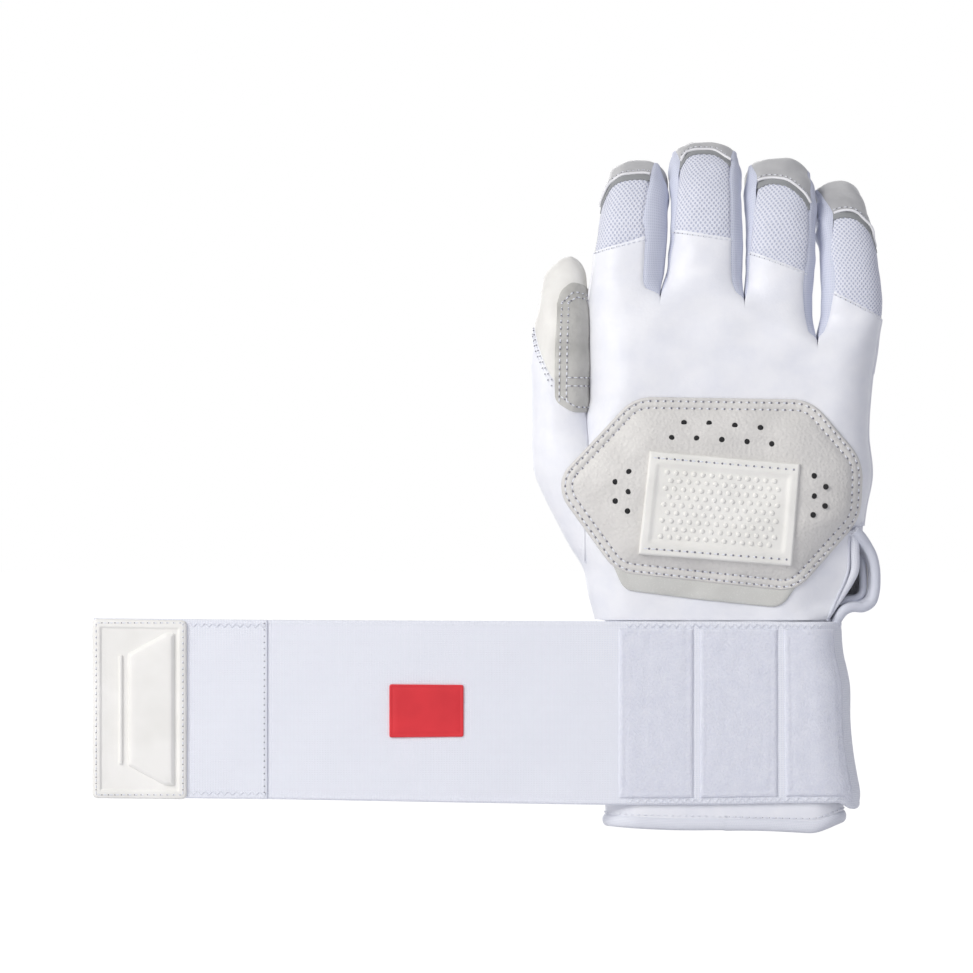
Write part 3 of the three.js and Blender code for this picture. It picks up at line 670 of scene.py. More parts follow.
# Moulded nylon hook tape: small glints on its points.
HOOK = Moulded("moulded_hook_tape", "#dfe2ea", "#cfd3de", 0.6, "hook_tape")
# Folded woven binding: fine and matt.
BINDING = Woven("folded_binding", "#e2e4ec", "#d2d5e0", 0.6, "binding", warp=0.6, weft=0.6, depth=0.04)
# Coated piping cord: smooth and white.
PIPING = Moulded("white_piping", "#ededf0", "#e2e2e6", 0.5, "piping")
# Bonded nylon thread: smooth, with a slight shine.
THREAD = Moulded("bonded_nylon_thread", "#eceef4", "#dadde8", 0.5, "binding")


def new_object(name: str, mesh: bpy.types.Mesh) -> Piece:
    """Puts a mesh in the scene under a name.

    Args:
        name: The object's name.
        mesh: Its mesh.

    Returns:
        The object.
    """
    made = bpy.data.objects.new(name, mesh)
    bpy.context.scene.collection.objects.link(made)
    return made


def make_piece(name: str, panels: Sequence[Panel], finish: Finish) -> Piece:
    """Makes one piece from closed panels.

    Args:
        name: The piece's name.
        panels: Its panels, in millimetres.
        finish: Its finish.

    Returns:
        The piece, with its flat coordinates and material.
    """
    points: list[Array] = []
    flats: list[Array] = []
    faces: list[tuple[int, ...]] = []
    for panel in panels:
        start = sum(len(part) for part in points)
        faces.extend(panel.faces(start))
        points.extend([panel.outer.reshape(-1, 3), panel.inner.reshape(-1, 3)])
        flats.extend([panel.flat().reshape(-1, 2)] * 2)
    mesh = bpy.data.meshes.new(name)
    mesh.from_pydata((np.concatenate(points) * MM).tolist(), [], faces)
    corners = np.empty(len(mesh.loops), np.int32)
    mesh.loops.foreach_get("vertex_index", corners)
    layer = mesh.uv_layers.new(name=UV_NAME)
    layer.data.foreach_set("uv", np.concatenate(flats)[corners].astype(np.float32).ravel())
    shaper = bmesh.new()
    shaper.from_mesh(mesh)
    bmesh.ops.remove_doubles(shaper, verts=shaper.verts, dist=MERGE_GAP)
    bmesh.ops.dissolve_degenerate(shaper, edges=shaper.edges, dist=TINY_EDGE)
    shaper.to_mesh(mesh)
    shaper.free()
    mesh.shade_smooth()
    mesh.set_sharp_from_angle(angle=math.radians(SHARP_ANGLE))
    mesh.materials.append(finish.material())
    made = new_object(name, mesh)
    return made


def mount(piece: Piece, body: str, *nodes: str) -> None:
    """Rides a piece on a body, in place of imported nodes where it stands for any.

    Args:
        piece: The piece.
        body: The body it moves with.
        *nodes: The nodes it replaces.
    """
    if nodes:
        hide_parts(*nodes)
    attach(piece, body)


@dataclass
class Rule:
    """A Geometry Nodes tree with named inputs, made once and used for many pieces.

    Attributes:
        name: The tree's name.
        inputs: Socket type of each named input.
        fill: Adds the tree's nodes and gives the socket of the result.
        tree: The tree, once it is made.
    """

    name: str
    inputs: dict[str, str]
    fill: Callable[[Tree, Node], Socket]
    tree: Tree | None = None

    def made_tree(self) -> Tree:
        """Builds the tree at first use.

        Returns:
            The tree.
        """
        if self.tree is None:
            tree = bpy.data.node_groups.new(self.name, "GeometryNodeTree")
            tree.interface.new_socket("Geometry", in_out="INPUT", socket_type="NodeSocketGeometry")
            for label, kind in self.inputs.items():
                tree.interface.new_socket(label, in_out="INPUT", socket_type=kind)
            tree.interface.new_socket("Geometry", in_out="OUTPUT", socket_type="NodeSocketGeometry")
            entry = tree.nodes.new("NodeGroupInput")
            result = self.fill(tree, entry)
            add_node(tree, "NodeGroupOutput", {0: result})
            self.tree = tree
        return self.tree

    def grow(self, name: str, paths: Sequence[Array], values: dict[str, object], finish: Finish,
             facing: Array | None = None) -> Piece:
        """Grows a piece on paths or points.

        Args:
            name: The piece's name.
            paths: Polylines in millimetres, or an array of single points.
            values: Values of the tree's inputs.
            finish: Not used.
            facing: Outward direction of each point, where the tree reads it.

        Returns:
            The piece as a plain mesh.
        """
        points = np.concatenate(paths) * MM
        edges: list[tuple[int, int]] = []
        start = 0
        for path in paths:
            edges.extend((start + i, start + i + 1) for i in range(len(path) - 1))
            start += len(path)
        mesh = bpy.data.meshes.new(name + "_path")
        mesh.from_pydata(points.tolist(), edges, [])
        if facing is not None:
            layer = mesh.attributes.new("facing", "FLOAT_VECTOR", "POINT")
            layer.data.foreach_set("vector", facing.astype(np.float32).ravel())
        made = new_object(name, mesh)
        modifier = made.modifiers.new("rule", "NODES")
        tree = self.made_tree()
        modifier.node_group = tree
        for item in tree.interface.items_tree:
            if item.item_type == "SOCKET" and item.in_out == "INPUT" and item.name in values:
                modifier[item.identifier] = values[item.name]
        graph = bpy.context.evaluated_depsgraph_get()
        plain = bpy.data.meshes.new_from_object(made.evaluated_get(graph))
        made.modifiers.clear()
        made.data = plain
        plain.name = name
        return made


def set_copies(tree: Tree, spots: Socket, shape: Node, axis: Socket, size: dict, material: Socket) -> Node:
    """Sets real copies of a shape on points.

    Args:
        tree: The tree that gets the nodes.
        spots: The points.
        shape: The shape.
        axis: The direction that each copy's Z turns to.
        size: The copies' size by axis number.
        material: Their material.

    Returns:
        The last node.
    """
    turn = add_node(tree, "FunctionNodeAlignRotationToVector", {"Vector": axis}, axis="Z")
    scale = add_node(tree, "ShaderNodeCombineXYZ", size)
    copies = add_node(tree, "GeometryNodeInstanceOnPoints",
                      {"Points": spots, "Instance": shape, "Rotation": turn, "Scale": scale})
    real = add_node(tree, "GeometryNodeRealizeInstances", {0: copies})
    soft = add_node(tree, "GeometryNodeSetShadeSmooth", {"Geometry": real})
    return add_node(tree, "GeometryNodeSetMaterial", {"Geometry": soft, "Material": material})


def stitch_nodes(tree: Tree, entry: Node) -> Socket:
    """Lays a short thread at each pitch along the paths, and between threads a grey dot painted as the shade
    in a needle hole.

    Args:
        tree: The rule's tree.
        entry: The node that holds its inputs.

    Returns:
        The stitches.
    """
    curve = add_node(tree, "GeometryNodeMeshToCurve", {0: entry.outputs["Geometry"]})
    shifted = add_node(tree, "GeometryNodeTrimCurve", {"Curve": curve}, mode="LENGTH")
    half = add_node(tree, "ShaderNodeMath", {0: entry.outputs["Pitch"], 1: 0.5}, operation="MULTIPLY")
    total = add_node(tree, "GeometryNodeSplineLength")
    for label, value in (("Start", half.outputs[0]), ("End", total.outputs["Length"])):
        sockets = [s for s in shifted.inputs if s.name == label and s.enabled]
        tree.links.new(value, sockets[-1])
    ball = add_node(tree, "GeometryNodeMeshUVSphere", {"Segments": 8, "Rings": 5, "Radius": 1.0})
    results = []
    for path, wide, far, material in ((curve, "Thread", "Length", "Material"),
                                      (shifted, "Hole", "Hole", "Hole Shade Material")):
        spots = add_node(tree, "GeometryNodeCurveToPoints",
                         {"Curve": path, "Length": entry.outputs["Pitch"]}, mode="LENGTH")
        size = {0: entry.outputs[wide], 1: entry.outputs[wide], 2: entry.outputs[far]}
        results.append(set_copies(tree, spots.outputs["Points"], ball, spots.outputs["Tangent"], size,
                                  entry.outputs[material]))
    both = add_node(tree, "GeometryNodeJoinGeometry")
    for result in reversed(results):
        tree.links.new(result.outputs[0], both.inputs[0])
    return both.outputs[0]


def cord_nodes(tree: Tree, entry: Node) -> Socket:
    """Sweeps a round section along the paths.

    Args:
        tree: The rule's tree.
        entry: The node that holds its inputs.

    Returns:
        The cords.
    """
    curve = add_node(tree, "GeometryNodeMeshToCurve", {0: entry.outputs["Geometry"]})
    circle = add_node(tree, "GeometryNodeCurvePrimitiveCircle",
                      {"Resolution": 10, "Radius": entry.outputs["Radius"]})
    tube = add_node(tree, "GeometryNodeCurveToMesh",
                    {"Curve": curve, "Profile Curve": circle, "Fill Caps": True})
    soft = add_node(tree, "GeometryNodeSetShadeSmooth", {"Geometry": tube})
    real = add_node(tree, "GeometryNodeRealizeInstances", {0: soft})
    dressed = add_node(tree, "GeometryNodeSetMaterial",
                       {"Geometry": real, "Material": entry.outputs["Material"]})
    return dressed.outputs[0]


def dot_nodes(tree: Tree, entry: Node) -> Socket:
    """Sets a flattened ball on each point, turned to face outwards.

    Args:
        tree: The rule's tree.
        entry: The node that holds its inputs.

    Returns:
        The dots.
    """
    spots = add_node(tree, "GeometryNodeMeshToPoints", {"Mesh": entry.outputs["Geometry"]})
    facing = add_node(tree, "GeometryNodeInputNamedAttribute", {"Name": "facing"}, data_type="FLOAT_VECTOR")
    ball = add_node(tree, "GeometryNodeMeshUVSphere", {"Segments": 12, "Rings": 6, "Radius": 1.0})
    size = {0: entry.outputs["Radius"], 1: entry.outputs["Radius"], 2: entry.outputs["Height"]}
    dots = set_copies(tree, spots.outputs[0], ball, facing.outputs["Attribute"], size,
                      entry.outputs["Material"])
    return dots.outputs[0]


NUMBER = "NodeSocketFloat"
FINISH_INPUT = "NodeSocketMaterial"
STITCHES = Rule("stitch_rows", {"Pitch": NUMBER, "Thread": NUMBER, "Length": NUMBER, "Hole": NUMBER,
                                "Material": FINISH_INPUT, "Hole Shade Material": FINISH_INPUT}, stitch_nodes)
CORDS = Rule("cords", {"Radius": NUMBER, "Material": FINISH_INPUT}, cord_nodes)
DOTS = Rule("dots", {"Radius": NUMBER, "Height": NUMBER, "Material": FINISH_INPUT}, dot_nodes)


def sew(name: str, rows: Sequence[Array], pitch: float = 2.7, thread: float = 0.3, hole: float = 0.36,
        share: float = 0.6) -> Piece:
    """Sews stitch rows.

    Args:
        name: The piece's name.
        rows: Polylines in millimetres.
        pitch: Stitch length in millimetres.
        thread: Thread radius in millimetres.
        hole: Radius in millimetres of the grey dot painted as the shade in each needle hole.
        share: Share of the pitch that a thread covers.

    Returns:
        The stitches as one piece.
    """
    # Painted shade: grey dots between the threads stand for the shade in the needle holes.
    values = {"Pitch": pitch * MM, "Thread": thread * MM, "Length": pitch * share / 2.0 * MM,
              "Hole": hole * MM, "Material": THREAD.material(), "Hole Shade Material": STITCH_HOLE_SHADE.material()}
    return STITCHES.grow(name, rows, values, THREAD)


def lay_cord(name: str, paths: Sequence[Array], radius: float, finish: Finish) -> Piece:
    """Lays a round cord along paths."""
    return CORDS.grow(name, paths, {"Radius": radius * MM, "Material": finish.material()}, finish)


def set_dots(name: str, spots: Array, facing: Sequence[float], radius: float, height: float,
             finish: Finish) -> Piece:
    """Sets flattened dots on a surface."""
    values = {"Radius": radius * MM, "Height": height * MM, "Material": finish.material()}
    return DOTS.grow(name, [spots], values, finish, facing=np.tile(facing, (len(spots), 1)))


class Outline:
    """A polygon of [x, z] corners with rounded corners, sampled the same way at any inset.

    Attributes:
        corners: Its corners, anticlockwise as seen from the back of the hand.
        radius: The reach of each corner's rounding.
    """

    def __init__(self, corners: Sequence[Pair], radius: float, spacing: float = 1.5) -> None:
        """Turns the corners anticlockwise and counts the samples of each side.

        Args:
            corners: Its corners.
            radius: The reach of each corner's rounding.
            spacing: Distance between points on a side.
        """
        spots = np.array(corners, float)
        following = np.roll(spots, -1, axis=0)
        area = np.sum(spots[:, 0] * following[:, 1] - following[:, 0] * spots[:, 1])
        self.corners = spots if area > 0 else spots[::-1].copy()
        self.radius = radius
        sides = np.linalg.norm(np.roll(self.corners, -1, axis=0) - self.corners, axis=1)
        self.counts = [max(2, int(side / spacing)) for side in sides]
        self.edge = self.ring(0.0)

    def inset_corners(self, inset: float) -> Array:
        """Moves each side in by an inset and gives the new corners.

        Args:
            inset: How far in.

        Returns:
            The corners.
        """
        ahead = np.roll(self.corners, -1, axis=0) - self.corners
        ahead /= np.linalg.norm(ahead, axis=1, keepdims=True)
        inward = np.stack([-ahead[:, 1], ahead[:, 0]], axis=1)
        before_in = np.roll(inward, 1, axis=0)
        bisector = inward + before_in
        bisector /= np.sum(bisector * inward, axis=1, keepdims=True)
        return self.corners + bisector * inset

    def ring(self, inset: float) -> Array:
        """Gives the outline's points at an inset.

        Args:
            inset: How far in.

        Returns:
            The points, as many at any inset.
        """
        corners = self.inset_corners(inset)
        radius = max(self.radius - 0.7 * inset, 0.3)
        ahead = np.roll(corners, -1, axis=0) - corners
        sides = np.linalg.norm(ahead, axis=1)
        ahead = ahead / sides[:, None]
        cuts = np.minimum(radius, np.minimum(sides, np.roll(sides, 1)) / 2.02)
        t = np.linspace(0.0, 1.0, 9)[:, None]
        points = []
        for i, spot in enumerate(corners):
            after = (i + 1) % len(corners)
            enter = spot - ahead[i - 1] * cuts[i]
            leave = spot + ahead[i] * cuts[i]
            points.append(enter * (1 - t) ** 2 + 2 * spot * t * (1 - t) + leave * t ** 2)
            stop = corners[after] - ahead[i] * cuts[after]
            share = np.linspace(0.0, 1.0, self.counts[i] + 2)[1:-1, None]
            points.append(lerp(leave, stop, share))
        return np.concatenate(points)

    def distance(self, x: Array, z: Array) -> Array:
        """Gives the distance of places from the outline.

        Args:
            x: The places' x.
            z: Their heights.

        Returns:
            The distances.
        """
        flat = np.stack([np.ravel(x), np.ravel(z)], axis=1)
        gaps = np.linalg.norm(flat[:, None, :] - self.edge[None, :, :], axis=2)
        return gaps.min(axis=1).reshape(np.shape(x))

    def plate(self, rings: Sequence[float], inner_rings: int, centre: Pair,
              top: Callable[[Array, Array, Array], Array], under: Callable[[Array, Array], Array]) -> Panel:
        """Makes a closed plate over the outline.

        Args:
            rings: Insets of the rings near the edge.
            inner_rings: How many rings run on from there to the centre.
            centre: Where the rings close.
            top: The outside face's y at an inset, x and z.
            under: The inside face's y at x and z.

        Returns:
            The plate, facing the back of the hand.
        """
        loops = [self.ring(inset) for inset in rings]
        insets = list(rings)
        last = loops[-1]
        reach = np.linalg.norm(last - np.array(centre), axis=1).min()
        for share in np.linspace(0.0, 1.0, inner_rings + 1)[1:]:
            loops.append(lerp(last, np.array(centre), share))
            insets.append(rings[-1] + reach * share)
        flat = np.stack(loops)
        depth = np.broadcast_to(np.array(insets)[:, None], flat.shape[:2])
        x, z = flat[..., 0], flat[..., 1]
        outer = to_points(x, top(depth, x, z), z)
        inner = to_points(x, under(x, z), z)
        return Panel(outer, inner, ring=True, uv=flat)


@dataclass(frozen=True)
class HandForm:
    """The shape of the hand: its outline as (height, x) stations and its depth.

    Attributes:
        cuff_top: Height where the hand meets the cuff.
        knuckles: Height of the finger roots.
        crotch: Height of the thumb's crotch.
        split: Height where the finger pieces take over from the hand.
        gusset_bottom: Height where the thumb's own leather starts.
        vent_top: Height where the vent closes.
        thumb_seam: Where the thumb's leather meets the back.
        index_edge: The hand's edge below the index finger.
        seam: Half the gap between the back and the palm.
        wrist_depth: Depth of the back at the wrist.
        back_depth: Depth of the back at its fullest.
        palm_depth: Depth of the palm.
        knuckle_depth: Depth of both at the finger roots.
        edge_round: How far in from its edges the hand is rounded.
        flap_turn: Share of its depth by which the back turns down to the vent.
    """

    cuff_top: float = 77.0
    knuckles: float = 194.0
    crotch: float = 150.0
    split: float = 166.0
    gusset_bottom: float = 97.5
    vent_top: float = 113.0
    thumb_seam: float = -50.6
    index_edge: float = -49.0
    seam: float = 0.2
    wrist_depth: float = 12.5
    back_depth: float = 14.5
    palm_depth: float = 12.5
    knuckle_depth: float = 11.6
    edge_round: float = 15.0
    flap_turn: float = 0.42
    ball: ClassVar[Profile] = Profile(
        (77, -47), (86, -49.4), (95, -51.2), (103, -56), (112, -60.8), (121, -65.2), (132, -69),
        (142, -70.2), (150, -70.2))
    outer: ClassVar[Profile] = Profile(
        (77, 40.4), (81, 48.4), (86, 52), (92, 52.8), (99, 52), (106, 50.2), (116, 51), (129, 53.3),
        (144, 52), (163, 53.3), (174, 55), (194, 57))
    vent: ClassVar[Profile] = Profile(
        (77, 36.8), (80.5, 38.7), (85.3, 40.7), (90, 42.9), (95, 44.4), (106, 44.8),
        (109.5, 46.5), (113, 53))

    def left(self, z: Array) -> Array:
        """Gives the hand's edge on the thumb side."""
        seamed = lerp(self.ball(z), self.thumb_seam, smooth(z, self.gusset_bottom, self.gusset_bottom + 4.0))
        return lerp(seamed, self.index_edge, smooth(z, self.crotch, self.crotch + 7.0))

    def back_right(self, z: Array) -> Array:
        """Gives the back panel's edge on the little finger side, drawn in at the vent."""
        return np.where(z < self.vent_top, np.minimum(self.outer(z), self.vent(z)), self.outer(z))

    def whole_depth(self, x: Array, z: Array, side: Array) -> Array:
        """Gives the depth of the hand and the ball of the thumb together.

        Args:
            x: Places across.
            z: Heights.
            side: -1 for the back, 1 for the palm.

        Returns:
            The depth there.
        """
        taper = smooth(z, self.split, self.knuckles)
        swell = smooth(z, self.cuff_top, 108.0)
        back = lerp(lerp(self.wrist_depth, self.back_depth, swell), self.knuckle_depth, taper)
        palm = lerp(self.palm_depth, self.knuckle_depth, taper)
        flap = smooth(x - self.vent(z), -20.0, 2.0) * smooth(z, 74.0, 84.0) * (1.0 - smooth(z, 104.0, 118.0))
        back = back * (1.0 - self.flap_turn * flap)
        full = np.where(np.asarray(side) < 0, back, palm)
        left_turn = round_edge(x - self.ball(z), self.edge_round)
        return full * left_turn * round_edge(self.outer(z) - x, self.edge_round)

    def depth(self, x: Array, z: Array, side: Array) -> Array:
        """Gives the depth of the hand alone, turned down where the thumb leaves it.

        Args:
            x: Places across.
            z: Heights.
            side: -1 for the back, 1 for the palm.

        Returns:
            The depth there.
        """
        turn = lerp(0.05, self.edge_round, smooth(z, 131.0, 157.0))
        drop = round_edge(x - self.left(z) + 0.05, turn)
        return self.whole_depth(x, z, side) * drop + self.waves(x, z)

    def waves(self, x: Array, z: Array) -> Array:
        """Gives the leather's soft waves, which die out at the hand's edges."""
        inside = smooth(x - self.left(z), 2.0, 12.0) * smooth(self.outer(z) - x, 2.0, 12.0)
        return ripple(x, z, 5, 21.0, 0.35) * inside

    def broad_face(self, x: Array, z: Array) -> Array:
        """Gives the y of the back together with the ball of the thumb, on which the pad lies."""
        return -(self.seam + self.whole_depth(x, z, -1.0) + self.waves(x, z))

    def face(self, x: Array, z: Array, side: float = -1.0) -> Array:
        """Gives the y of the back (side -1) or the palm (side 1)."""
        return side * (self.seam + self.depth(x, z, side))


FORM = HandForm()


@dataclass
class Hand:
    """The back, the palm, the vent and its lining.

    Attributes:
        leather: Thickness of the leather.
        cloth: Thickness of the cloth in the vent.
        rows: Rows of points up each panel.
        columns: Points across each panel.
        vent_loop: Points on the middle of the vent's rolled edge.
        inner_loop: Points on the middle of the roll inside it.
        flap_roll: The middle of the flap's own roll as (x, height, radius).
        roll_radius: Radius of the vent's rolled edge.
        inner_radius: Radius of the roll inside it.
        lip_radius: Radius of the flap's bound edge.
        welt_radius: Radius of the welts where back and palm meet.
        pocket_floor: The y of the bottom of the vent's pocket.
        palm_rows: Heights of the stitch rows across the palm.
    """

    leather: float = 1.1
    cloth: float = 0.8
    rows: int = 76
    columns: int = 84
    vent_loop: Spots = (
        (46.6, -9.0, 109.0), (49.0, -7.4, 106.6), (51.3, -5.2, 103.4), (53.4, -3.8, 99.4),
        (54.4, -3.0, 95.0), (54.6, -2.6, 90.5), (54.3, -2.8, 86.6), (53.1, -3.4, 83.0), (50.0, -4.4, 81.1),
        (46.3, -5.4, 81.2), (43.4, -6.0, 80.2), (41.2, -6.0, 77.9), (39.9, -5.0, 75.2), (39.2, -4.0, 72.8))
    inner_loop: Spots = (
        (47.4, 2.6, 102.6), (49.4, 1.0, 98.4), (50.1, 0.2, 94.6), (50.2, 0.0, 88.8), (49.6, -0.4, 85.8),
        (47.2, -1.2, 84.1), (44.0, -2.2, 83.6), (41.4, -2.6, 82.0))
    flap_roll: Spots = (
        (46.4, 109.2, 1.5), (46.8, 106.8, 1.8), (46.8, 103.0, 1.8), (46.8, 95.0, 1.75), (45.3, 90.8, 1.5),
        (43.2, 86.9, 1.2), (41.3, 83.7, 0.95), (39.3, 80.5, 0.7), (37.6, 77.6, 0.5), (36.9, 75.9, 0.5))
    roll_radius: float = 1.9
    inner_radius: float = 1.4
    lip_radius: float = 0.6
    welt_radius: float = 0.8
    pocket_floor: float = 6.2
    palm_rows: Pair = (78.4, 80.8)

    def panel(self, side: float) -> Panel:
        """Makes the back (side -1) or the palm (side 1).

        Args:
            side: -1 for the back, 1 for the palm.

        Returns:
            The panel.
        """
        z = np.linspace(FORM.cuff_top - 0.4, FORM.split, self.rows)[:, None]
        right = FORM.back_right(z) if side < 0 else FORM.outer(z)
        ends = (FORM.left(z), right) if side < 0 else (right, FORM.left(z))
        x = lerp(ends[0], ends[1], spread(self.columns, 0.85)[None, :])
        outer = to_points(x, FORM.face(x, z, side), z)
        return Panel.skin(outer, self.leather, seams=() if side < 0 else (Edge.LEFT,))

    @staticmethod
    def curve(stations: Spots, count: int) -> Array:
        """Gives points on a smooth curve through stations.

        Args:
            stations: Points that it passes.
            count: How many points to give.

        Returns:
            The points.
        """
        given = np.array(stations)
        place = np.arange(len(given), dtype=float)
        t = np.linspace(0.0, place[-1], count)
        return np.stack([Profile(*zip(place, given[:, i]))(t) for i in range(3)], axis=1)

    def flap_edge(self) -> tuple[Array, Panel]:
        """Gives the edge of the flap before the vent, and the roll that tapers down beside it.

        Returns:
            The edge and the roll.
        """
        up = np.linspace(76.2, 108.5, 32)
        x = FORM.vent(up)
        lip = to_points(x, FORM.face(x, up) + 0.2, up)
        x, z, radius = self.curve(self.flap_roll, 60).T
        middle = to_points(x, FORM.face(np.minimum(x, FORM.vent(z)), z) + 0.4 + 0.6 * radius, z)
        along = np.gradient(middle, axis=0)
        side = np.cross(along, [0.0, 1.0, 0.0])
        side = side / np.linalg.norm(side, axis=1, keepdims=True)
        front = np.cross(side, along)
        front = front / np.linalg.norm(front, axis=1, keepdims=True)
        angle = np.linspace(0.0, 2.0 * math.pi, 21)[None, :-1, None]
        out = (side[:, None, :] * np.cos(angle) + front[:, None, :] * np.sin(angle)) * radius[:, None, None]
        return lip, Panel(middle[:, None, :] + out, middle[:, None, :] + out * 0.4, ring=True)

    def vent_walls(self, loop: Array) -> list[Panel]:
        """Makes the cloth pocket inside the vent's rolled edge, and the side from that edge to the palm.

        Args:
            loop: Points on the middle of the vent's rolled edge.

        Returns:
            The pocket and the side.
        """
        up = np.linspace(78.0, 108.0, 24)
        x = FORM.vent(up) - 4.0
        hidden = to_points(x, FORM.face(x, up) + 2.4, up)
        rim = np.concatenate([loop, hidden])[::-1]
        share = np.linspace(0.0, 1.0, 9)[:, None, None]
        deep = lerp(rim, np.array([45.0, 0.0, 91.5]), 0.42)
        pocket = lerp(rim[None], deep[None], share)
        pocket[..., 1] = lerp(rim[None, :, 1], self.pocket_floor, share[..., 0] ** 2)
        tops = np.linspace(109.5, 114.0, 6)
        x = FORM.back_right(tops) - 0.3
        rising = np.concatenate([loop[::-1], to_points(x, FORM.face(x, tops) + 0.4, tops)])
        edge = to_points(FORM.outer(rising[:, 2]), 0.6, rising[:, 2])
        side = lerp(rising[:, None, :], edge[:, None, :], np.linspace(0.0, 1.0, 8)[None, :, None])
        return [Panel.skin(pocket, self.cloth, ring=True), Panel.skin(side, self.cloth)]

    def lining(self) -> Panel:
        """Makes the cloth inside the vent, painted grey as the shade there.

        Returns:
            The cloth.
        """
        z = np.linspace(66.0, 110.0, 26)[:, None]
        x = lerp(FORM.vent(z) - 9.0, FORM.outer(z) - 3.0, np.linspace(0.0, 1.0, 18)[None, :])
        depth = np.minimum(FORM.face(x, z, 1.0) - self.leather - 0.5, 7.0)
        return Panel.skin(to_points(x, depth, z), self.cloth / 2.0)

    def build(self) -> None:
        """Makes the pieces that ride on the hand."""
        mount(make_piece("hand_back", [self.panel(-1.0)], WHITE_LEATHER), "hand", "back_panel")
        mount(make_piece("hand_palm", [self.panel(1.0)], PALM_LEATHER), "hand", "palm_panel")
        lip, flap_roll = self.flap_edge()
        loop = self.curve(self.vent_loop, 80)
        inner = self.curve(self.inner_loop, 50)
        mount(lay_cord("vent_roll", [loop], self.roll_radius, BINDING), "hand", "vent_binding")
        mount(lay_cord("vent_inner_roll", [inner], self.inner_radius, BINDING), "hand")
        mount(make_piece("vent_flap_roll", [flap_roll], BINDING), "hand")
        mount(lay_cord("vent_lip", [lip], self.lip_radius, BINDING), "hand")
        mount(make_piece("vent_walls", self.vent_walls(loop), BINDING), "hand")
        mount(make_piece("vent_lining", [self.lining()], PAINTED_SHADE_LINING), "hand")
        x = np.linspace(-43.0, 38.0, 60)
        rows = [to_points(x, FORM.face(x, np.full(60, z), 1.0) + 0.1, z) for z in self.palm_rows]
        mount(sew("palm_stitching", rows, 2.3, 0.26, 0.24), "hand")
        z = np.linspace(110.5, 167.0, 60)
        right = to_points(FORM.outer(z) - 0.2, 0.0, z)
        z = np.linspace(153.0, 167.0, 20)
        left = to_points(FORM.left(z) + 0.2, 0.0, z)
        mount(lay_cord("side_welts", [right, left], self.welt_radius, WHITE_LEATHER), "hand")


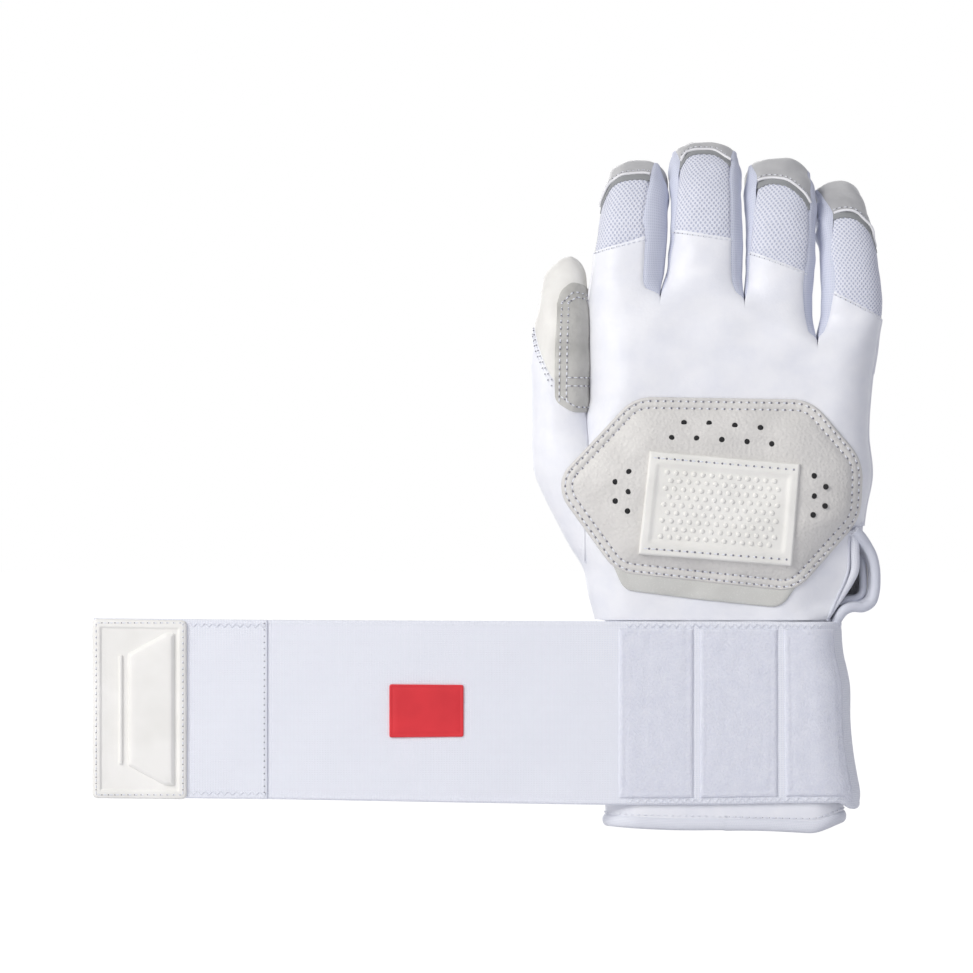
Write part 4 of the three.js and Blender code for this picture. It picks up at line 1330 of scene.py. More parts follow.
@dataclass
class KnucklePad:
    """The padded cover over the knuckles, its backing strip, its punched holes and its badge.

    Attributes:
        corners: Corners of the pad as (x, z).
        backing: Corners of the backing.
        holes: Centres of the punched holes.
        badge: Corners of the badge from bottom left, anticlockwise.
        badge_size: The badge's width and height.
        badge_rise: How far its rim stands up.
        badge_row: Inset of its stitch rows.
        rows: Insets of the pad's two stitch rows.
        rings: Insets of the pad's rings of points near its edge.
        centre: The middle of the crown.
        half_width: Half the crown's width.
        half_height: Half the crown's height.
        crown: How far the pad swells in its middle.
        border: The pad's height at an inset, with a groove under each stitch row.
    """

    corners: Stations = (
        (-33, 157), (30.5, 156), (49.6, 134), (49, 113), (25, 86.5), (-39.5, 93.5),
        (-59.3, 121), (-59.3, 129))
    backing: Stations = (
        (-31, 150), (28, 149), (42, 133), (42, 115), (24.4, 87.4), (19.6, 81), (-10, 84), (-36.7, 87.4),
        (-39.6, 94), (-52, 121), (-52, 129))
    holes: Stations = (
        (-15.3, 147.6), (-6.3, 147.4), (2.9, 146.6), (12.1, 145.8), (-19.8, 142.2), (-10.8, 142),
        (-1.8, 141.5), (7.2, 140.8), (16.2, 140), (-35.1, 130), (-40, 126.4), (-35.3, 122.9), (-40, 119.5),
        (-35.6, 115.9), (31.3, 128.5), (35.6, 124.6), (31.3, 121.3), (35.3, 117.7), (31, 114.5))
    badge: Stations = ((-31.7, 100.4), (23.4, 96.1), (26.3, 132.8), (-27.7, 137.5))
    badge_size: Pair = (54.6, 37.0)
    badge_rise: float = 1.6
    badge_row: float = 2.3
    rows: Pair = (1.45, 3.95)
    rings: tuple[float, ...] = (
        0.0, 0.15, 0.4, 0.8, 1.15, 1.45, 1.75, 2.2, 2.8, 3.4, 3.7, 3.95, 4.2, 4.7, 5.4, 6.2)
    centre: Pair = (-5.0, 122.0)
    half_width: float = 54.0
    half_height: float = 35.0
    crown: float = 3.4
    border: ClassVar[Profile] = Profile(
        (0, 0.3), (0.35, 1.25), (0.8, 1.6), (1.2, 1.45), (1.45, 1.3), (1.7, 1.45), (2.7, 1.75), (3.6, 1.55),
        (3.95, 1.35), (4.3, 1.6), (5.2, 2.1), (6.5, 2.4))
    outline: Outline = field(init=False)

    def __post_init__(self) -> None:
        """Rounds the pad's outline."""
        self.outline = Outline(self.corners, 7.0)

    def swell(self, x: Array, z: Array) -> Array:
        """Gives the even crown, full in the middle.

        Args:
            x: Places across.
            z: Heights.

        Returns:
            The crown's height there.
        """
        across = (x - self.centre[0]) / self.half_width
        along = (z - self.centre[1]) / self.half_height
        return self.crown * np.maximum(0.0, 1.0 - across ** 4 - along ** 4)

    def top(self, inset: Array, x: Array, z: Array) -> Array:
        """Gives the pad's outside y at an inset from its edge."""
        return FORM.broad_face(x, z) - self.border(inset) - self.swell(x, z) * smooth(inset, 3.5, 13.0)

    def badge_bed(self, x: Array, z: Array) -> Array:
        """Gives the y of the even crown that the badge lies on."""
        return FORM.broad_face(x, z) - 2.2 - self.swell(x, z)

    def badge_face(self, u: Array, v: Array) -> Array:
        """Gives points on the badge's face: a rounded rim, a raised border and a sunk field.

        Args:
            u: Shares across the badge.
            v: Shares up the badge.

        Returns:
            The points.
        """
        a, b, c, d = (np.array(corner, float) for corner in self.badge)
        spot = lerp(a + (b - a) * u[..., None], d + (c - d) * u[..., None], v[..., None])
        x, z = spot[..., 0], spot[..., 1]
        wide = np.minimum(u, 1.0 - u) * self.badge_size[0]
        tall = np.minimum(v, 1.0 - v) * self.badge_size[1]
        rise = self.badge_rise * round_edge(np.minimum(wide, tall) + 0.05, 0.7)
        rise = rise - 0.25 * np.exp(-((tall - self.badge_row) / 0.35) ** 2) * (wide > 1.5)
        rise = rise - 0.7 * smooth(np.minimum(wide - 3.2, tall - 4.6), 0.0, 0.7)
        return to_points(x, self.badge_bed(x, z) - rise, z)

    def build(self) -> None:
        """Makes the backing, the pad, its stitches, dark dots painted as the shade in its punched holes, and
        its badge.
        """
        film = Outline(self.backing, 4.0).plate(
            (0.0, 0.3, 0.8, 2.0), 14, self.centre,
            lambda inset, x, z: FORM.broad_face(x, z) - 0.2 - 0.9 * round_edge(inset + 0.05, 0.9),
            lambda x, z: FORM.broad_face(x, z) - 0.1)
        mount(make_piece("pad_backing_strip", [film], PAD_FILM), "hand", "knuckle_pad_underlay")
        cover = self.outline.plate(self.rings, 26, self.centre, self.top,
                                   lambda x, z: FORM.broad_face(x, z) - 0.25)
        pad = make_piece("knuckle_pad", [cover], PAD_LEATHER)
        mount(pad, "hand", "knuckle_pad_cover", "knuckle_pad_foam")
        sewn = []
        for inset in self.rows:
            loop = self.outline.ring(inset)
            x, z = np.concatenate([loop, loop[:1]]).T
            sewn.append(to_points(x, self.top(np.full(len(x), inset), x, z) - 0.1, z))
        row = self.badge_row / self.badge_size[1]
        for v in (row, 1.0 - row):
            path = self.badge_face(np.linspace(0.04, 0.96, 60), np.full(60, v))
            sewn.append(path + np.array([0.0, -0.05, 0.0]))
        mount(sew("pad_stitching", sewn, hole=0.42), "hand")
        # Painted shade: each punched hole is a dark flattened dot on the pad, not an opening.
        x, z = np.array(self.holes).T
        places = to_points(x, self.top(self.outline.distance(x, z), x, z) - 0.02, z)
        mount(set_dots("pad_holes", places, OUT_OF_BACK, 1.05, 0.14, PAINTED_HOLE_SHADE), "hand")
        self.build_badge()

    def build_badge(self) -> None:
        """Makes the badge's plate and its staggered grip studs."""
        face = self.badge_face(*np.meshgrid(spread(60, 0.9), spread(44, 0.9)))
        x, z = face[..., 0], face[..., 2]
        back = to_points(x, self.badge_bed(x, z) + 0.8, z)
        mount(make_piece("badge_plate", [Panel(face, back)], BADGE_RUBBER), "hand", "badge")
        columns, lines = 13, np.arange(9)
        place = (np.arange(columns)[None, :] + 0.5 + 0.5 * (lines[:, None] % 2)) / (columns + 0.5)
        u = lerp(0.1, 0.9, np.clip(place, 0.0, 1.0))
        v = np.broadcast_to(lerp(0.19, 0.81, lines / 8.0)[:, None], u.shape)
        studs = self.badge_face(u.ravel(), v.ravel())
        mount(set_dots("badge_grip", studs, OUT_OF_BACK, 0.95, 0.5, BADGE_RUBBER), "hand")


@dataclass
class Digit:
    """The shape of a finger or the thumb.

    Side edges and depth are given at the root, at the middle joint and where the round tip starts. Angles
    run round the digit in degrees from the middle of its back, positive towards the little finger.

    Attributes:
        name: The digit's name in the record.
        base: Height of its root.
        lower: Length from the root to the middle joint.
        upper: Length from there to the end.
        curl: Degrees by which the upper part curls.
        tip: Length of the round tip.
        left: The x of its left edge.
        right: The x of its right edge.
        depth: Its depth from back to palm.
    """

    name: str
    base: float
    lower: float
    upper: float
    curl: float
    tip: float
    left: Trio
    right: Trio
    depth: Trio

    def __post_init__(self) -> None:
        """Makes the curves through the stations."""
        self.length = self.lower + self.upper
        places = (0.0, self.lower, self.length - self.tip)
        self.left_curve = Profile(*zip(places, self.left))
        self.right_curve = Profile(*zip(places, self.right))
        self.depth_curve = Profile(*zip(places, self.depth))

    @staticmethod
    def girth(radians: Array) -> Array:
        """Gives a place round the digit, in millimetres, that closes on itself."""
        return 9.0 * np.sin(radians) + 5.0 * np.cos(radians)

    def skin(self, angle: Array, along: Array, lift: Array = 0.0) -> Array:
        """Gives points on the digit.

        Args:
            angle: Angles round it in degrees.
            along: Lengths along it.
            lift: How far the points stand off the skin.

        Returns:
            The points.
        """
        turn = math.radians(self.curl)
        radians = np.radians(angle)
        pitch = turn * np.clip((along - self.lower) / self.upper, 0.0, 1.0)
        straight = np.minimum(along, self.lower)
        bend = self.upper / turn
        start = self.length - self.tip
        dome = np.clip((along - start) / (self.tip + np.maximum(lift, 0.0)), 0.0, 1.0)
        closing = np.sqrt(1.0 - dome * dome)
        low, high = self.left_curve(along), self.right_curve(along)
        half_width = ((high - low) / 2.0 + lift) * closing
        rise = (self.depth_curve(along) / 2.0 + lift) * closing * rounded(np.cos(radians))
        x = (low + high) / 2.0 + half_width * rounded(np.sin(radians))
        y = bend * (1.0 - np.cos(pitch)) - rise * np.cos(pitch)
        z = self.base + straight + bend * np.sin(pitch) + rise * np.sin(pitch)
        return to_points(x, y, z)

    @staticmethod
    def between(low: Array, high: Array, radians: Array) -> Array:
        """Gives the x at an angle round a section between two edges."""
        return (low + high) / 2.0 + (high - low) / 2.0 * rounded(np.sin(radians))

    @staticmethod
    def facing(radians: Array) -> tuple[Array, Array]:
        """Gives the side of the hand that an angle is on, and the share by which it stands off the seam."""
        side = np.where(np.cos(radians) >= 0.0, -1.0, 1.0)
        return side, np.clip(np.cos(radians) / EDGE_COSINE, -1.0, 1.0)

    @staticmethod
    def round_about(stations: Stations, angle: Array) -> Array:
        """Reads (angle, along) stations that close on themselves.

        Args:
            stations: The stations.
            angle: Angles round it in degrees.

        Returns:
            The lengths along it.
        """
        first = stations[0]
        curve = Profile(*stations, (first[0] + 360.0, first[1]))
        return curve(np.mod(np.asarray(angle, float) - first[0], 360.0) + first[0])


EDGE_ANGLE = 89.0
EDGE_COSINE = math.cos(math.radians(EDGE_ANGLE))


def level(place: float) -> Curve:
    """Gives an edge that runs round a digit at one length."""
    return lambda angle: np.full(np.shape(angle), place)


@dataclass
class Finger(Digit):
    """A finger: leather up to a slanted seam, then open knit, stretch sides, and a tip under a piping.

    Attributes:
        span: The finger's share of the hand below its root, as two x places.
        seam: Where the leather ends on its left and right edge, along the finger.
        back_left: Left edge of the back panels as (along, angle).
        back_right: Right edge of the back panels as (along, angle).
        palm: Right and left edge of the palm panel as angles.
        cap: Edge of the tip leather as (angle, along).
        crotch: Heights where its left and right side part from the next finger.
        low: Heights between which the lower part bends at the knuckle.
        high: Heights between which the upper part bends at the middle joint.
        sides: The record's names of its stretch sides.
        webs: Webs that its sides stand for.
        skew: How far the left of its tip falls away.
        welt: Angle of a welt up its free side, or None.
        tip_stand: How far the tip leather stands off the skin.
        wall: Thickness of its panels.
        seed: Seed of its waves.
    """

    span: Pair = (0.0, 0.0)
    seam: Pair = (0.0, 0.0)
    back_left: Stations = ()
    back_right: Stations = ()
    palm: Pair = (120.0, 240.0)
    cap: Stations = ()
    crotch: Pair = (194.0, 194.0)
    low: Pair = (0.0, 0.0)
    high: Pair = (0.0, 0.0)
    sides: tuple[str, ...] = ()
    webs: tuple[str, ...] = ()
    skew: float = 0.0
    welt: float | None = None
    tip_stand: float = 0.25
    wall: float = 1.0
    seed: int = 1

    def surface(self, angle: Array, along: Array, lift: Array = 0.0) -> Array:
        """Gives points on the finger, which melts into the hand below its root.

        Args:
            angle: Angles round it in degrees.
            along: Lengths along it.
            lift: How far the points stand off the skin.

        Returns:
            The points.
        """
        angle, along = np.broadcast_arrays(np.asarray(angle, float), np.asarray(along, float))
        tube = self.skin(angle, along, lift)
        z = self.base + along
        radians = np.radians(angle)
        right = FORM.outer(z) if self.span[1] > 50.0 else np.full(z.shape, self.span[1])
        x = self.between(self.span[0], right, radians)
        side, stand = self.facing(radians)
        flat = to_points(x, -(FORM.seam + FORM.depth(x, z, side) + lift) * stand, z)
        waves = ripple(self.girth(radians), along, self.seed, 9.0, 0.16) * smooth(along, 2.0, 10.0)
        waves = waves * smooth(self.length - along, 0.0, 5.0)
        crotch = lerp(self.crotch[0], self.crotch[1], (np.sin(radians) + 1.0) / 2.0) - self.base
        made = lerp(flat, tube, smooth(along - crotch, -4.0, 9.0)[..., None])
        made = made + (self.skin(angle, along, lift + 1.0) - tube) * waves[..., None]
        outside = np.clip((self.left[2] + self.right[2] - 2.0 * made[..., 0]) / 24.0, 0.0, 1.0)
        fall = self.skew * smooth(along, self.length - 18.0, self.length) * outside
        return made - to_points(0.0, 0.0, fall)

    def opened(self, along: Array, right: bool) -> Array:
        """Gives 0 below the crotch on one side of the finger and 1 above it."""
        return smooth(along + self.base - self.crotch[1 if right else 0], -1.5, 2.5)

    def back_angle(self, along: Array, right: bool) -> Array:
        """Gives the edge of the back panels, which widens to the whole back below the crotch.

        Args:
            along: Lengths along it.
            right: Whether it is the side towards the little finger.

        Returns:
            The angles.
        """
        curve = Profile(*(self.back_right if right else self.back_left))
        full = EDGE_ANGLE if right else -EDGE_ANGLE
        return lerp(full, curve(along), self.opened(along, right))

    def palm_angle(self, along: Array, right: bool) -> Array:
        """Gives the edge of the palm panel, which widens to the whole palm below the crotch."""
        full, wanted = (91.0, self.palm[0]) if right else (269.0, self.palm[1])
        return lerp(full, wanted, self.opened(along, right))

    def tongue(self, along: Array, right: bool) -> Array:
        """Gives the palm edge of a stretch side, which runs out to a tongue over the tip.

        Args:
            along: Lengths along it.
            right: Whether it is the side towards the little finger.

        Returns:
            The angles.
        """
        edge = self.back_angle(along, right) + (16.0 if right else 344.0)
        share = smooth(along, self.length - 22.0, self.length - 7.0)
        return lerp(self.palm_angle(along, right), edge, share)

    def seam_at(self, angle: Array) -> Array:
        """Gives the length along the finger where the leather ends, right round it.

        Args:
            angle: Angles round it in degrees.

        Returns:
            The lengths.
        """
        turned = np.mod(np.asarray(angle, float) + 90.0, 360.0) - 90.0
        share = np.where(turned <= 90.0, (rounded(np.sin(np.radians(turned))) + 1.0) / 2.0,
                         1.0 - (turned - 90.0) / 180.0)
        return lerp(self.seam[0], self.seam[1], share)

    def cap_at(self, angle: Array) -> Array:
        """Gives the length along the finger where the tip leather starts, right round it."""
        return self.round_about(self.cap, angle)

    def tip_lift(self, angle: Array, along: Array) -> Array:
        """Gives how far the crumpled tip leather stands off the skin."""
        crumple = ripple(self.girth(np.radians(angle)), along, self.seed + 40, 6.5, 0.3)
        return self.tip_stand + crumple * smooth(self.length - along, 0.0, 4.0)

    def side_lift(self, angle: Array, along: Array) -> Array:
        """Gives how far a stretch side stands off the skin: it laps over the tip leather."""
        share = smooth(along - self.cap_at(angle), -10.0, -0.5)
        return lerp(-0.15, self.tip_lift(angle, along) + 0.4, share)

    def strip(self, edges: tuple[Curve, Curve], bottom: Curve, top: Curve, columns: int, rows: int,
              lift: float | Callable[[Array, Array], Array] = 0.0) -> tuple[Array, Array]:
        """Gives a grid between two side edges and two ends.

        Args:
            edges: Angles of the left and the right edge at a length along the finger.
            bottom: Length along the finger of the lower end at an angle.
            top: Length along the finger of the upper end at an angle.
            columns: Points across.
            rows: Points along.
            lift: How far the grid stands off the skin, over all or at each angle and length.

        Returns:
            The points and their flat coordinates.
        """
        left, right = edges
        u = spread(columns, 0.8)[None, :]
        v = spread(rows, 0.5)[:, None]
        middle = (left(np.array(10.0)) + right(np.array(10.0))) / 2.0
        along = lerp(bottom(middle), top(middle), v)
        angle = lerp(left(along), right(along), u)
        for _ in range(3):
            along = lerp(bottom(angle), top(angle), v)
            angle = lerp(left(along), right(along), u)
        points = self.surface(angle, along, lift(angle, along) if callable(lift) else lift)
        across = arc_lengths(points, 1)
        flat = np.stack([across - across[:, columns // 2][:, None], along], axis=2)
        return points, flat

    def place(self, piece: Piece, upper: bool, *nodes: str) -> None:
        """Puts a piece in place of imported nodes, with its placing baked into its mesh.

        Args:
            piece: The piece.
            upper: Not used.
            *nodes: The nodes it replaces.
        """
        if nodes:
            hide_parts(*nodes)
        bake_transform(piece)

    def side_panels(self, upper: bool) -> list[Panel]:
        """Makes the stretch sides of the lower or the upper part.

        Args:
            upper: Whether they are those of the upper part.

        Returns:
            The sides.
        """
        made = []
        for side in self.sides:
            if side == "ulnar":
                edges = partial(self.back_angle, right=True), partial(self.tongue, right=True)
                root = self.crotch[1] - self.base - 1.5
            else:
                edges = (partial(self.tongue, right=False),
                         lambda along: self.back_angle(along, False) + 360.0)
                root = self.crotch[0] - self.base - 1.5
            bottom = self.seam_at if upper else level(root)
            top = level(self.length - 6.0) if upper else self.seam_at
            grid, flat = self.strip(edges, bottom, top, 18, 44, self.side_lift if upper else -0.15)
            made.append(Panel.skin(grid, self.wall * 0.8, seams=SIDES, uv=flat))
        return made

    def build(self) -> None:
        """Makes the finger's pieces."""
        name = self.name
        root = FORM.split - self.base
        back = partial(self.back_angle, right=False), partial(self.back_angle, right=True)
        palm = partial(self.palm_angle, right=True), partial(self.palm_angle, right=False)

        grid, flat = self.strip(back, level(root), self.seam_at, 44, 64)
        crotch = max(self.crotch) - self.base
        dip = 0.35 * smooth(flat[..., 1], crotch, crotch + 6.0)
        panel = Panel.skin(grid, self.wall, seams=(*SIDES, Edge.TOP), uv=flat, dip=dip)
        self.place(make_piece(f"{name}_leather", [panel], WHITE_LEATHER), False, f"{name}_base_back")
        grid, flat = self.strip(palm, level(root), self.seam_at, 36, 56)
        panel = Panel.skin(grid, self.wall, seams=SIDES, uv=flat, dip=0.1)
        self.place(make_piece(f"{name}_palm", [panel], PALM_LEATHER), False, f"{name}_base_palm")
        for upper, part, webs in ((False, "base", self.webs), (True, "tip", ())):
            piece = make_piece(f"{name}_{part}_stretch", self.side_panels(upper), STRETCH_PAINTED_SHADE)
            self.place(piece, upper, *[f"{name}_{part}_side_{side}" for side in self.sides], *webs)

        grid, flat = self.strip(back, self.seam_at, self.cap_at, 40, 44, -0.1)
        panel = Panel.skin(grid, self.wall, seams=(*SIDES, Edge.BOTTOM), uv=flat)
        self.place(make_piece(f"{name}_knit", [panel], KNIT), True, f"{name}_mesh")
        grid, flat = self.strip(palm, self.seam_at, self.cap_at, 34, 36)
        under = Panel.skin(grid, self.wall, seams=SIDES, uv=flat)
        angle = np.linspace(-180.0, 180.0, 61)[None, :-1]
        share = np.sin(np.linspace(0.0, math.pi / 2.0, 22))[:, None]
        along = lerp(self.cap_at(angle), self.length + self.tip_stand, share)
        dome = self.surface(angle, along, self.tip_lift(angle, along))
        panel = Panel.skin(dome, self.wall, ring=True, seams=(Edge.BOTTOM,))
        self.place(make_piece(f"{name}_tip_leather", [under, panel], TIP_LEATHER), True, f"{name}_tip")

        grid, flat = self.strip(
            back, lambda angle: self.cap_at(angle) - 2.5 - 0.2 * np.sin(np.asarray(angle) * 0.9),
            lambda angle: self.cap_at(angle) + 0.2, 60, 8, 0.22)
        self.place(make_piece(f"{name}_underlap", [Panel.skin(grid, 0.5, uv=flat)], TIP_BAND_GREY), True)
        first, last = float(back[0](self.cap_at(-40.0))), float(back[1](self.cap_at(40.0)))
        arc = np.linspace(first + 2.0, last - 2.0, 40)
        path = self.surface(arc, self.cap_at(arc), self.tip_lift(arc, self.cap_at(arc)) + 0.2)
        self.place(lay_cord(f"{name}_piping_cord", [path], 0.5, PIPING), True, f"{name}_piping")
        if self.welt is not None:
            rise = np.linspace(root - 0.5, float(self.seam_at(self.welt)) - 0.5, 40)
            edge = self.surface(self.welt, rise, -0.4)
            self.place(lay_cord(f"{name}_welt", [edge], 0.8, WHITE_LEATHER), False)

        arc = np.linspace(float(back[0](np.array(15.0))) + 3.0, float(back[1](np.array(15.0))) - 3.0, 50)
        under_arc = np.linspace(self.palm[0] + 4.0, self.palm[1] - 4.0, 50)
        rows = [self.surface(turn, self.seam_at(turn) - 0.9, 0.1) for turn in (arc, under_arc)]
        self.place(sew(f"{name}_seam_stitches", rows, 1.9, 0.24, 0.2, 0.7), False)
        arc = np.linspace(max(first + 4.0, -70.0), min(last - 4.0, 70.0), 40)
        along = self.cap_at(arc) + 1.5
        row = self.surface(arc, along, self.tip_lift(arc, along) + 0.05)
        self.place(sew(f"{name}_tip_stitches", [row], 1.9, 0.2, 0.22, 0.6), True)


FINGERS = (
    Finger("index", 194.0, 19.5, 33.8, 75.0, 9.0,
           (-48.6, -46.4, -42.6), (-22.7, -20.7, -20.5), (22, 20.5, 17),
           span=(-49.0, -23.7), seam=(16.0, 23.0), skew=2.4, welt=-90.0,
           back_left=((0, -89.5), (40, -89.5)),
           back_right=((0, 38), (5, 22), (13.4, 18), (22, 16), (24.5, 12), (29.8, 15), (34.5, 19),
                       (39.7, 22), (46, 29), (50, 41)),
           palm=(118.0, 270.5), crotch=(194.0, 194.0),
           cap=((-88, 32.5), (-66, 34.5), (-44, 38.5), (0, 40), (22, 39.7), (60, 39), (118, 37), (194, 34)),
           low=(187.0, 209.0), high=(217.5, 230.0),
           sides=("ulnar",), webs=("web_index_middle",), seed=11),
    Finger("middle", 194.0, 21.5, 39.8, 75.0, 9.0,
           (-22.3, -19.8, -19.3), (6.4, 6.8, 5.4), (22, 20.5, 17),
           span=(-23.7, 6.9), seam=(23.4, 19.8),
           back_left=((0, -72), (20, -66), (40, -50), (46, -42), (57, -60)),
           back_right=((0, 52), (5, 42), (19.5, 37), (46.5, 43), (57, 60)), crotch=(194.0, 192.6),
           cap=((-62, 44), (-42, 45.9), (-25, 49.5), (0, 50.5), (15, 50.1), (43, 46.5), (70, 45.5),
                (120, 44), (180, 43), (240, 43.5)),
           low=(187.0, 213.0), high=(218.0, 231.0),
           sides=("ulnar", "radial"), webs=("web_middle_ring",), seed=12),
    Finger("ring", 194.0, 16.0, 39.8, 75.0, 9.0,
           (7.4, 7.6, 8.2), (32, 33.2, 32), (21, 20, 16.5),
           span=(6.9, 33.1), seam=(16.2, 6.9),
           back_left=((0, -70), (16, -64), (28, -50), (38, -36), (47, -46), (54, -60)),
           back_right=((-14, 46), (-7, 42), (2, 38), (11, 42), (19.4, 48), (31, 54), (36, 58), (53, 70)),
           crotch=(192.6, 178.2),
           cap=((-62, 36.5), (-30, 38.2), (-12, 38.9), (6, 37.9), (22, 35.6), (38, 33.3), (54, 31),
                (80, 30.5), (120, 31), (180, 32), (240, 35)),
           low=(186.0, 200.5), high=(211.0, 224.0),
           sides=("ulnar", "radial"), webs=("web_ring_pinky",), seed=13),
    Finger("pinky", 178.0, 16.0, 47.4, 62.0, 8.0,
           (34.2, 34.8, 33.6), (55.8, 57.2, 51), (19.5, 19, 15),
           span=(33.1, 57.0), seam=(19.3, 7.8), welt=90.0,
           back_left=((0, -62), (5, -50), (21, -31), (31, -36), (43, -22), (50, -38), (59, -60)),
           back_right=((0, 89.5), (40, 89.5)), palm=(89.5, 240.0), crotch=(178.2, 178.2),
           cap=((-46, 42.2), (-18, 43.1), (0, 43.4), (19, 42.7), (38, 41.1), (60, 38.9), (72, 36.4),
                (79, 34.5), (95, 34), (150, 36), (240, 40.5)),
           low=(170.0, 185.5), high=(198.0, 212.0), sides=("radial",), seed=14),
)


@dataclass
class Thumb(Digit):
    """The thumb: a tube that grows out of the ball of the hand, with a pebbled wear patch.

    Attributes:
        split: Where the cream upper leather starts, as (angle, along).
        bend: Heights between which the thumb leaves the hand.
        shoulder: How far the left of its tip falls away.
        set_back: How far it stands back towards the palm.
        wall: Thickness of its leather.
        patch_lift: How far the wear patch stands off the skin.
        palm_lift: How far the palm side stands off the skin.
    """

    split: Stations = ((-150, 33), (-90, 33), (-45, 24), (-8, 13), (40, 10), (95, 12), (150, 22))
    bend: Pair = (119.0, 152.0)
    shoulder: float = 2.6
    set_back: float = 2.6
    wall: float = 1.1
    patch_lift: float = 0.7
    palm_lift: float = 0.5

    def surface(self, angle: Array, along: Array, lift: Array = 0.0) -> Array:
        """Gives points on the thumb, which melts into the ball of the hand below its root.

        Args:
            angle: Angles round it in degrees.
            along: Lengths along it.
            lift: How far the points stand off the skin.

        Returns:
            The points.
        """
        angle, along = np.broadcast_arrays(np.asarray(angle, float), np.asarray(along, float))
        bare = self.skin(angle, along, lift)
        tube = bare + to_points(0.0, self.set_back * smooth(along, -20.0, 10.0), 0.0)
        z = self.base + along
        radians = np.radians(angle)
        low = FORM.ball(z)
        x = self.between(low, np.maximum(FORM.thumb_seam + 0.8, low + 0.4), radians)
        side, stand = self.facing(radians)
        tuck = 0.15 * smooth(x, FORM.thumb_seam - 1.5, FORM.thumb_seam)
        flat = to_points(x, -(FORM.seam + FORM.whole_depth(x, z, side) + lift - tuck) * stand, z)
        inner = (np.sin(radians) + 1.0) / 2.0
        share = smooth(along - lerp(-32.0, -17.0, inner), 0.0, lerp(32.0, 20.0, inner))
        made = lerp(flat, tube, share[..., None])
        waves = ripple(self.girth(radians), along, 31, 12.0, 0.25) * smooth(along, -10.0, 6.0)
        waves = waves * smooth(self.length - along, 0.0, 5.0)
        made = made + (self.skin(angle, along, lift + 1.0) - bare) * waves[..., None]
        fall = self.shoulder * smooth(along, 43.0, 58.0) * np.clip((-55.5 - made[..., 0]) / 8.0, 0.0, 1.0)
        return made - to_points(0.0, 0.0, fall)

    def split_at(self, angle: Array) -> Array:
        """Gives where the cream leather starts, right round the thumb."""
        return self.round_about(self.split, angle)

    def place(self, piece: Piece, *nodes: str) -> None:
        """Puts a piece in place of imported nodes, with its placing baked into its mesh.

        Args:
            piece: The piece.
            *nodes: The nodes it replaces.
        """
        if nodes:
            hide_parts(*nodes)
        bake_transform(piece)

    def overlay(self, first: float, last: float, bottom: float, top: float, lift: float,
                round_top: float) -> Panel:
        """Makes a patch over the thumb.

        Args:
            first: Angle of its left edge.
            last: Angle of its right edge.
            bottom: Length along the thumb of its lower end.
            top: Length of its upper end.
            lift: How far it stands off the skin.
            round_top: How far its upper left corner is cut back.

        Returns:
            The patch.
        """
        angle = lerp(first, last, spread(34, 0.8)[None, :])
        cut, foot = (
            reach * (1.0 - np.sqrt(1.0 - np.clip(1.0 - (angle - first) / turn, 0.0, 1.0) ** 2))
            for reach, turn in ((round_top, 26.0), (7.0, 40.0)))
        along = lerp(bottom + foot, top - cut, spread(44, 0.6)[:, None])
        grid = self.surface(angle, along, lift)
        return Panel.skin(grid, lift + 0.3, seams=(Edge.LEFT, Edge.TOP, Edge.BOTTOM))

    def stitch_rows(self) -> list[Array]:
        """Gives the stitch rows on the wear patch, along the slanted seam and on the palm side.

        Returns:
            The rows.
        """
        rows = []
        lift = self.patch_lift + 0.15
        for shift in (0.0, 9.0):
            first = -1.0 + shift
            rows.append(self.surface(first, np.linspace(6.0, 39.0, 50), lift))
            over = np.linspace(first, 60.0, 30)
            turn = np.clip((over + 1.0 - shift) / 22.0, 0.0, 1.0) * math.pi / 2.0
            rows.append(self.surface(over, 39.0 + (3.6 - 0.18 * shift) * np.sin(turn), lift))
        for height in (11.0, 14.0):
            rows.append(self.surface(np.linspace(12.0, 85.0, 40), height, lift))
        foot = np.linspace(2.0, 80.0, 40)
        bow = 3.3 + 6.0 * np.clip(1.0 - (foot + 8.0) / 42.0, 0.0, 1.0) ** 2
        rows.append(self.surface(foot, bow, lift))
        slant = np.linspace(-95.0, -14.0, 50)
        for shift in (-1.0, -3.2):
            rows.append(self.surface(slant, self.split_at(slant) + shift, 0.1))
        lift = self.palm_lift + 0.1
        rows.append(self.surface(201.0, np.linspace(3.0, 44.5, 50), lift))
        rows.append(self.surface(np.linspace(110.0, 201.0, 30), 44.5, lift))
        rows.append(self.surface(np.linspace(142.0, 201.0, 30), 2.6, lift))
        return rows

    def build(self) -> None:
        """Makes the thumb's pieces."""
        angle = np.linspace(-180.0, 180.0, 73)[None, :-1]
        rows = np.linspace(0.0, 1.0, 60)[:, None]
        grid = self.surface(angle, lerp(FORM.gusset_bottom - self.base, self.split_at(angle), rows))
        panel = Panel.skin(grid, self.wall, ring=True, seams=(Edge.TOP,))
        self.place(make_piece("thumb_root", [panel], WHITE_LEATHER), "thumb_gusset")
        share = np.sin(np.linspace(0.0, math.pi / 2.0, 50))[:, None]
        grid = self.surface(angle, lerp(self.split_at(angle), self.length, share))
        panel = Panel.skin(grid, self.wall, ring=True, seams=(Edge.BOTTOM,))
        self.place(make_piece("thumb_leather", [panel], CREAM_LEATHER), "thumb_outer")
        patch = self.overlay(-8.0, 95.0, 1.5, 46.0, self.patch_lift, 7.0)
        self.place(make_piece("thumb_wear_patch", [patch], GRAIN_LEATHER), "thumb_inner")
        palm = self.overlay(97.0, 206.0, 0.0, 47.0, self.palm_lift, 0.0)
        self.place(make_piece("thumb_palm_side", [palm], PALM_LEATHER), "thumb_palm")
        self.place(sew("thumb_stitching", self.stitch_rows(), 2.3, 0.26, 0.32))


THUMB = Thumb("thumb", 150.0, 27.0, 32.4, 34.0, 9.0,
              (-70, -69.6, -65.6), (-49.2, -48.8, -49.8), (24, 21, 16))


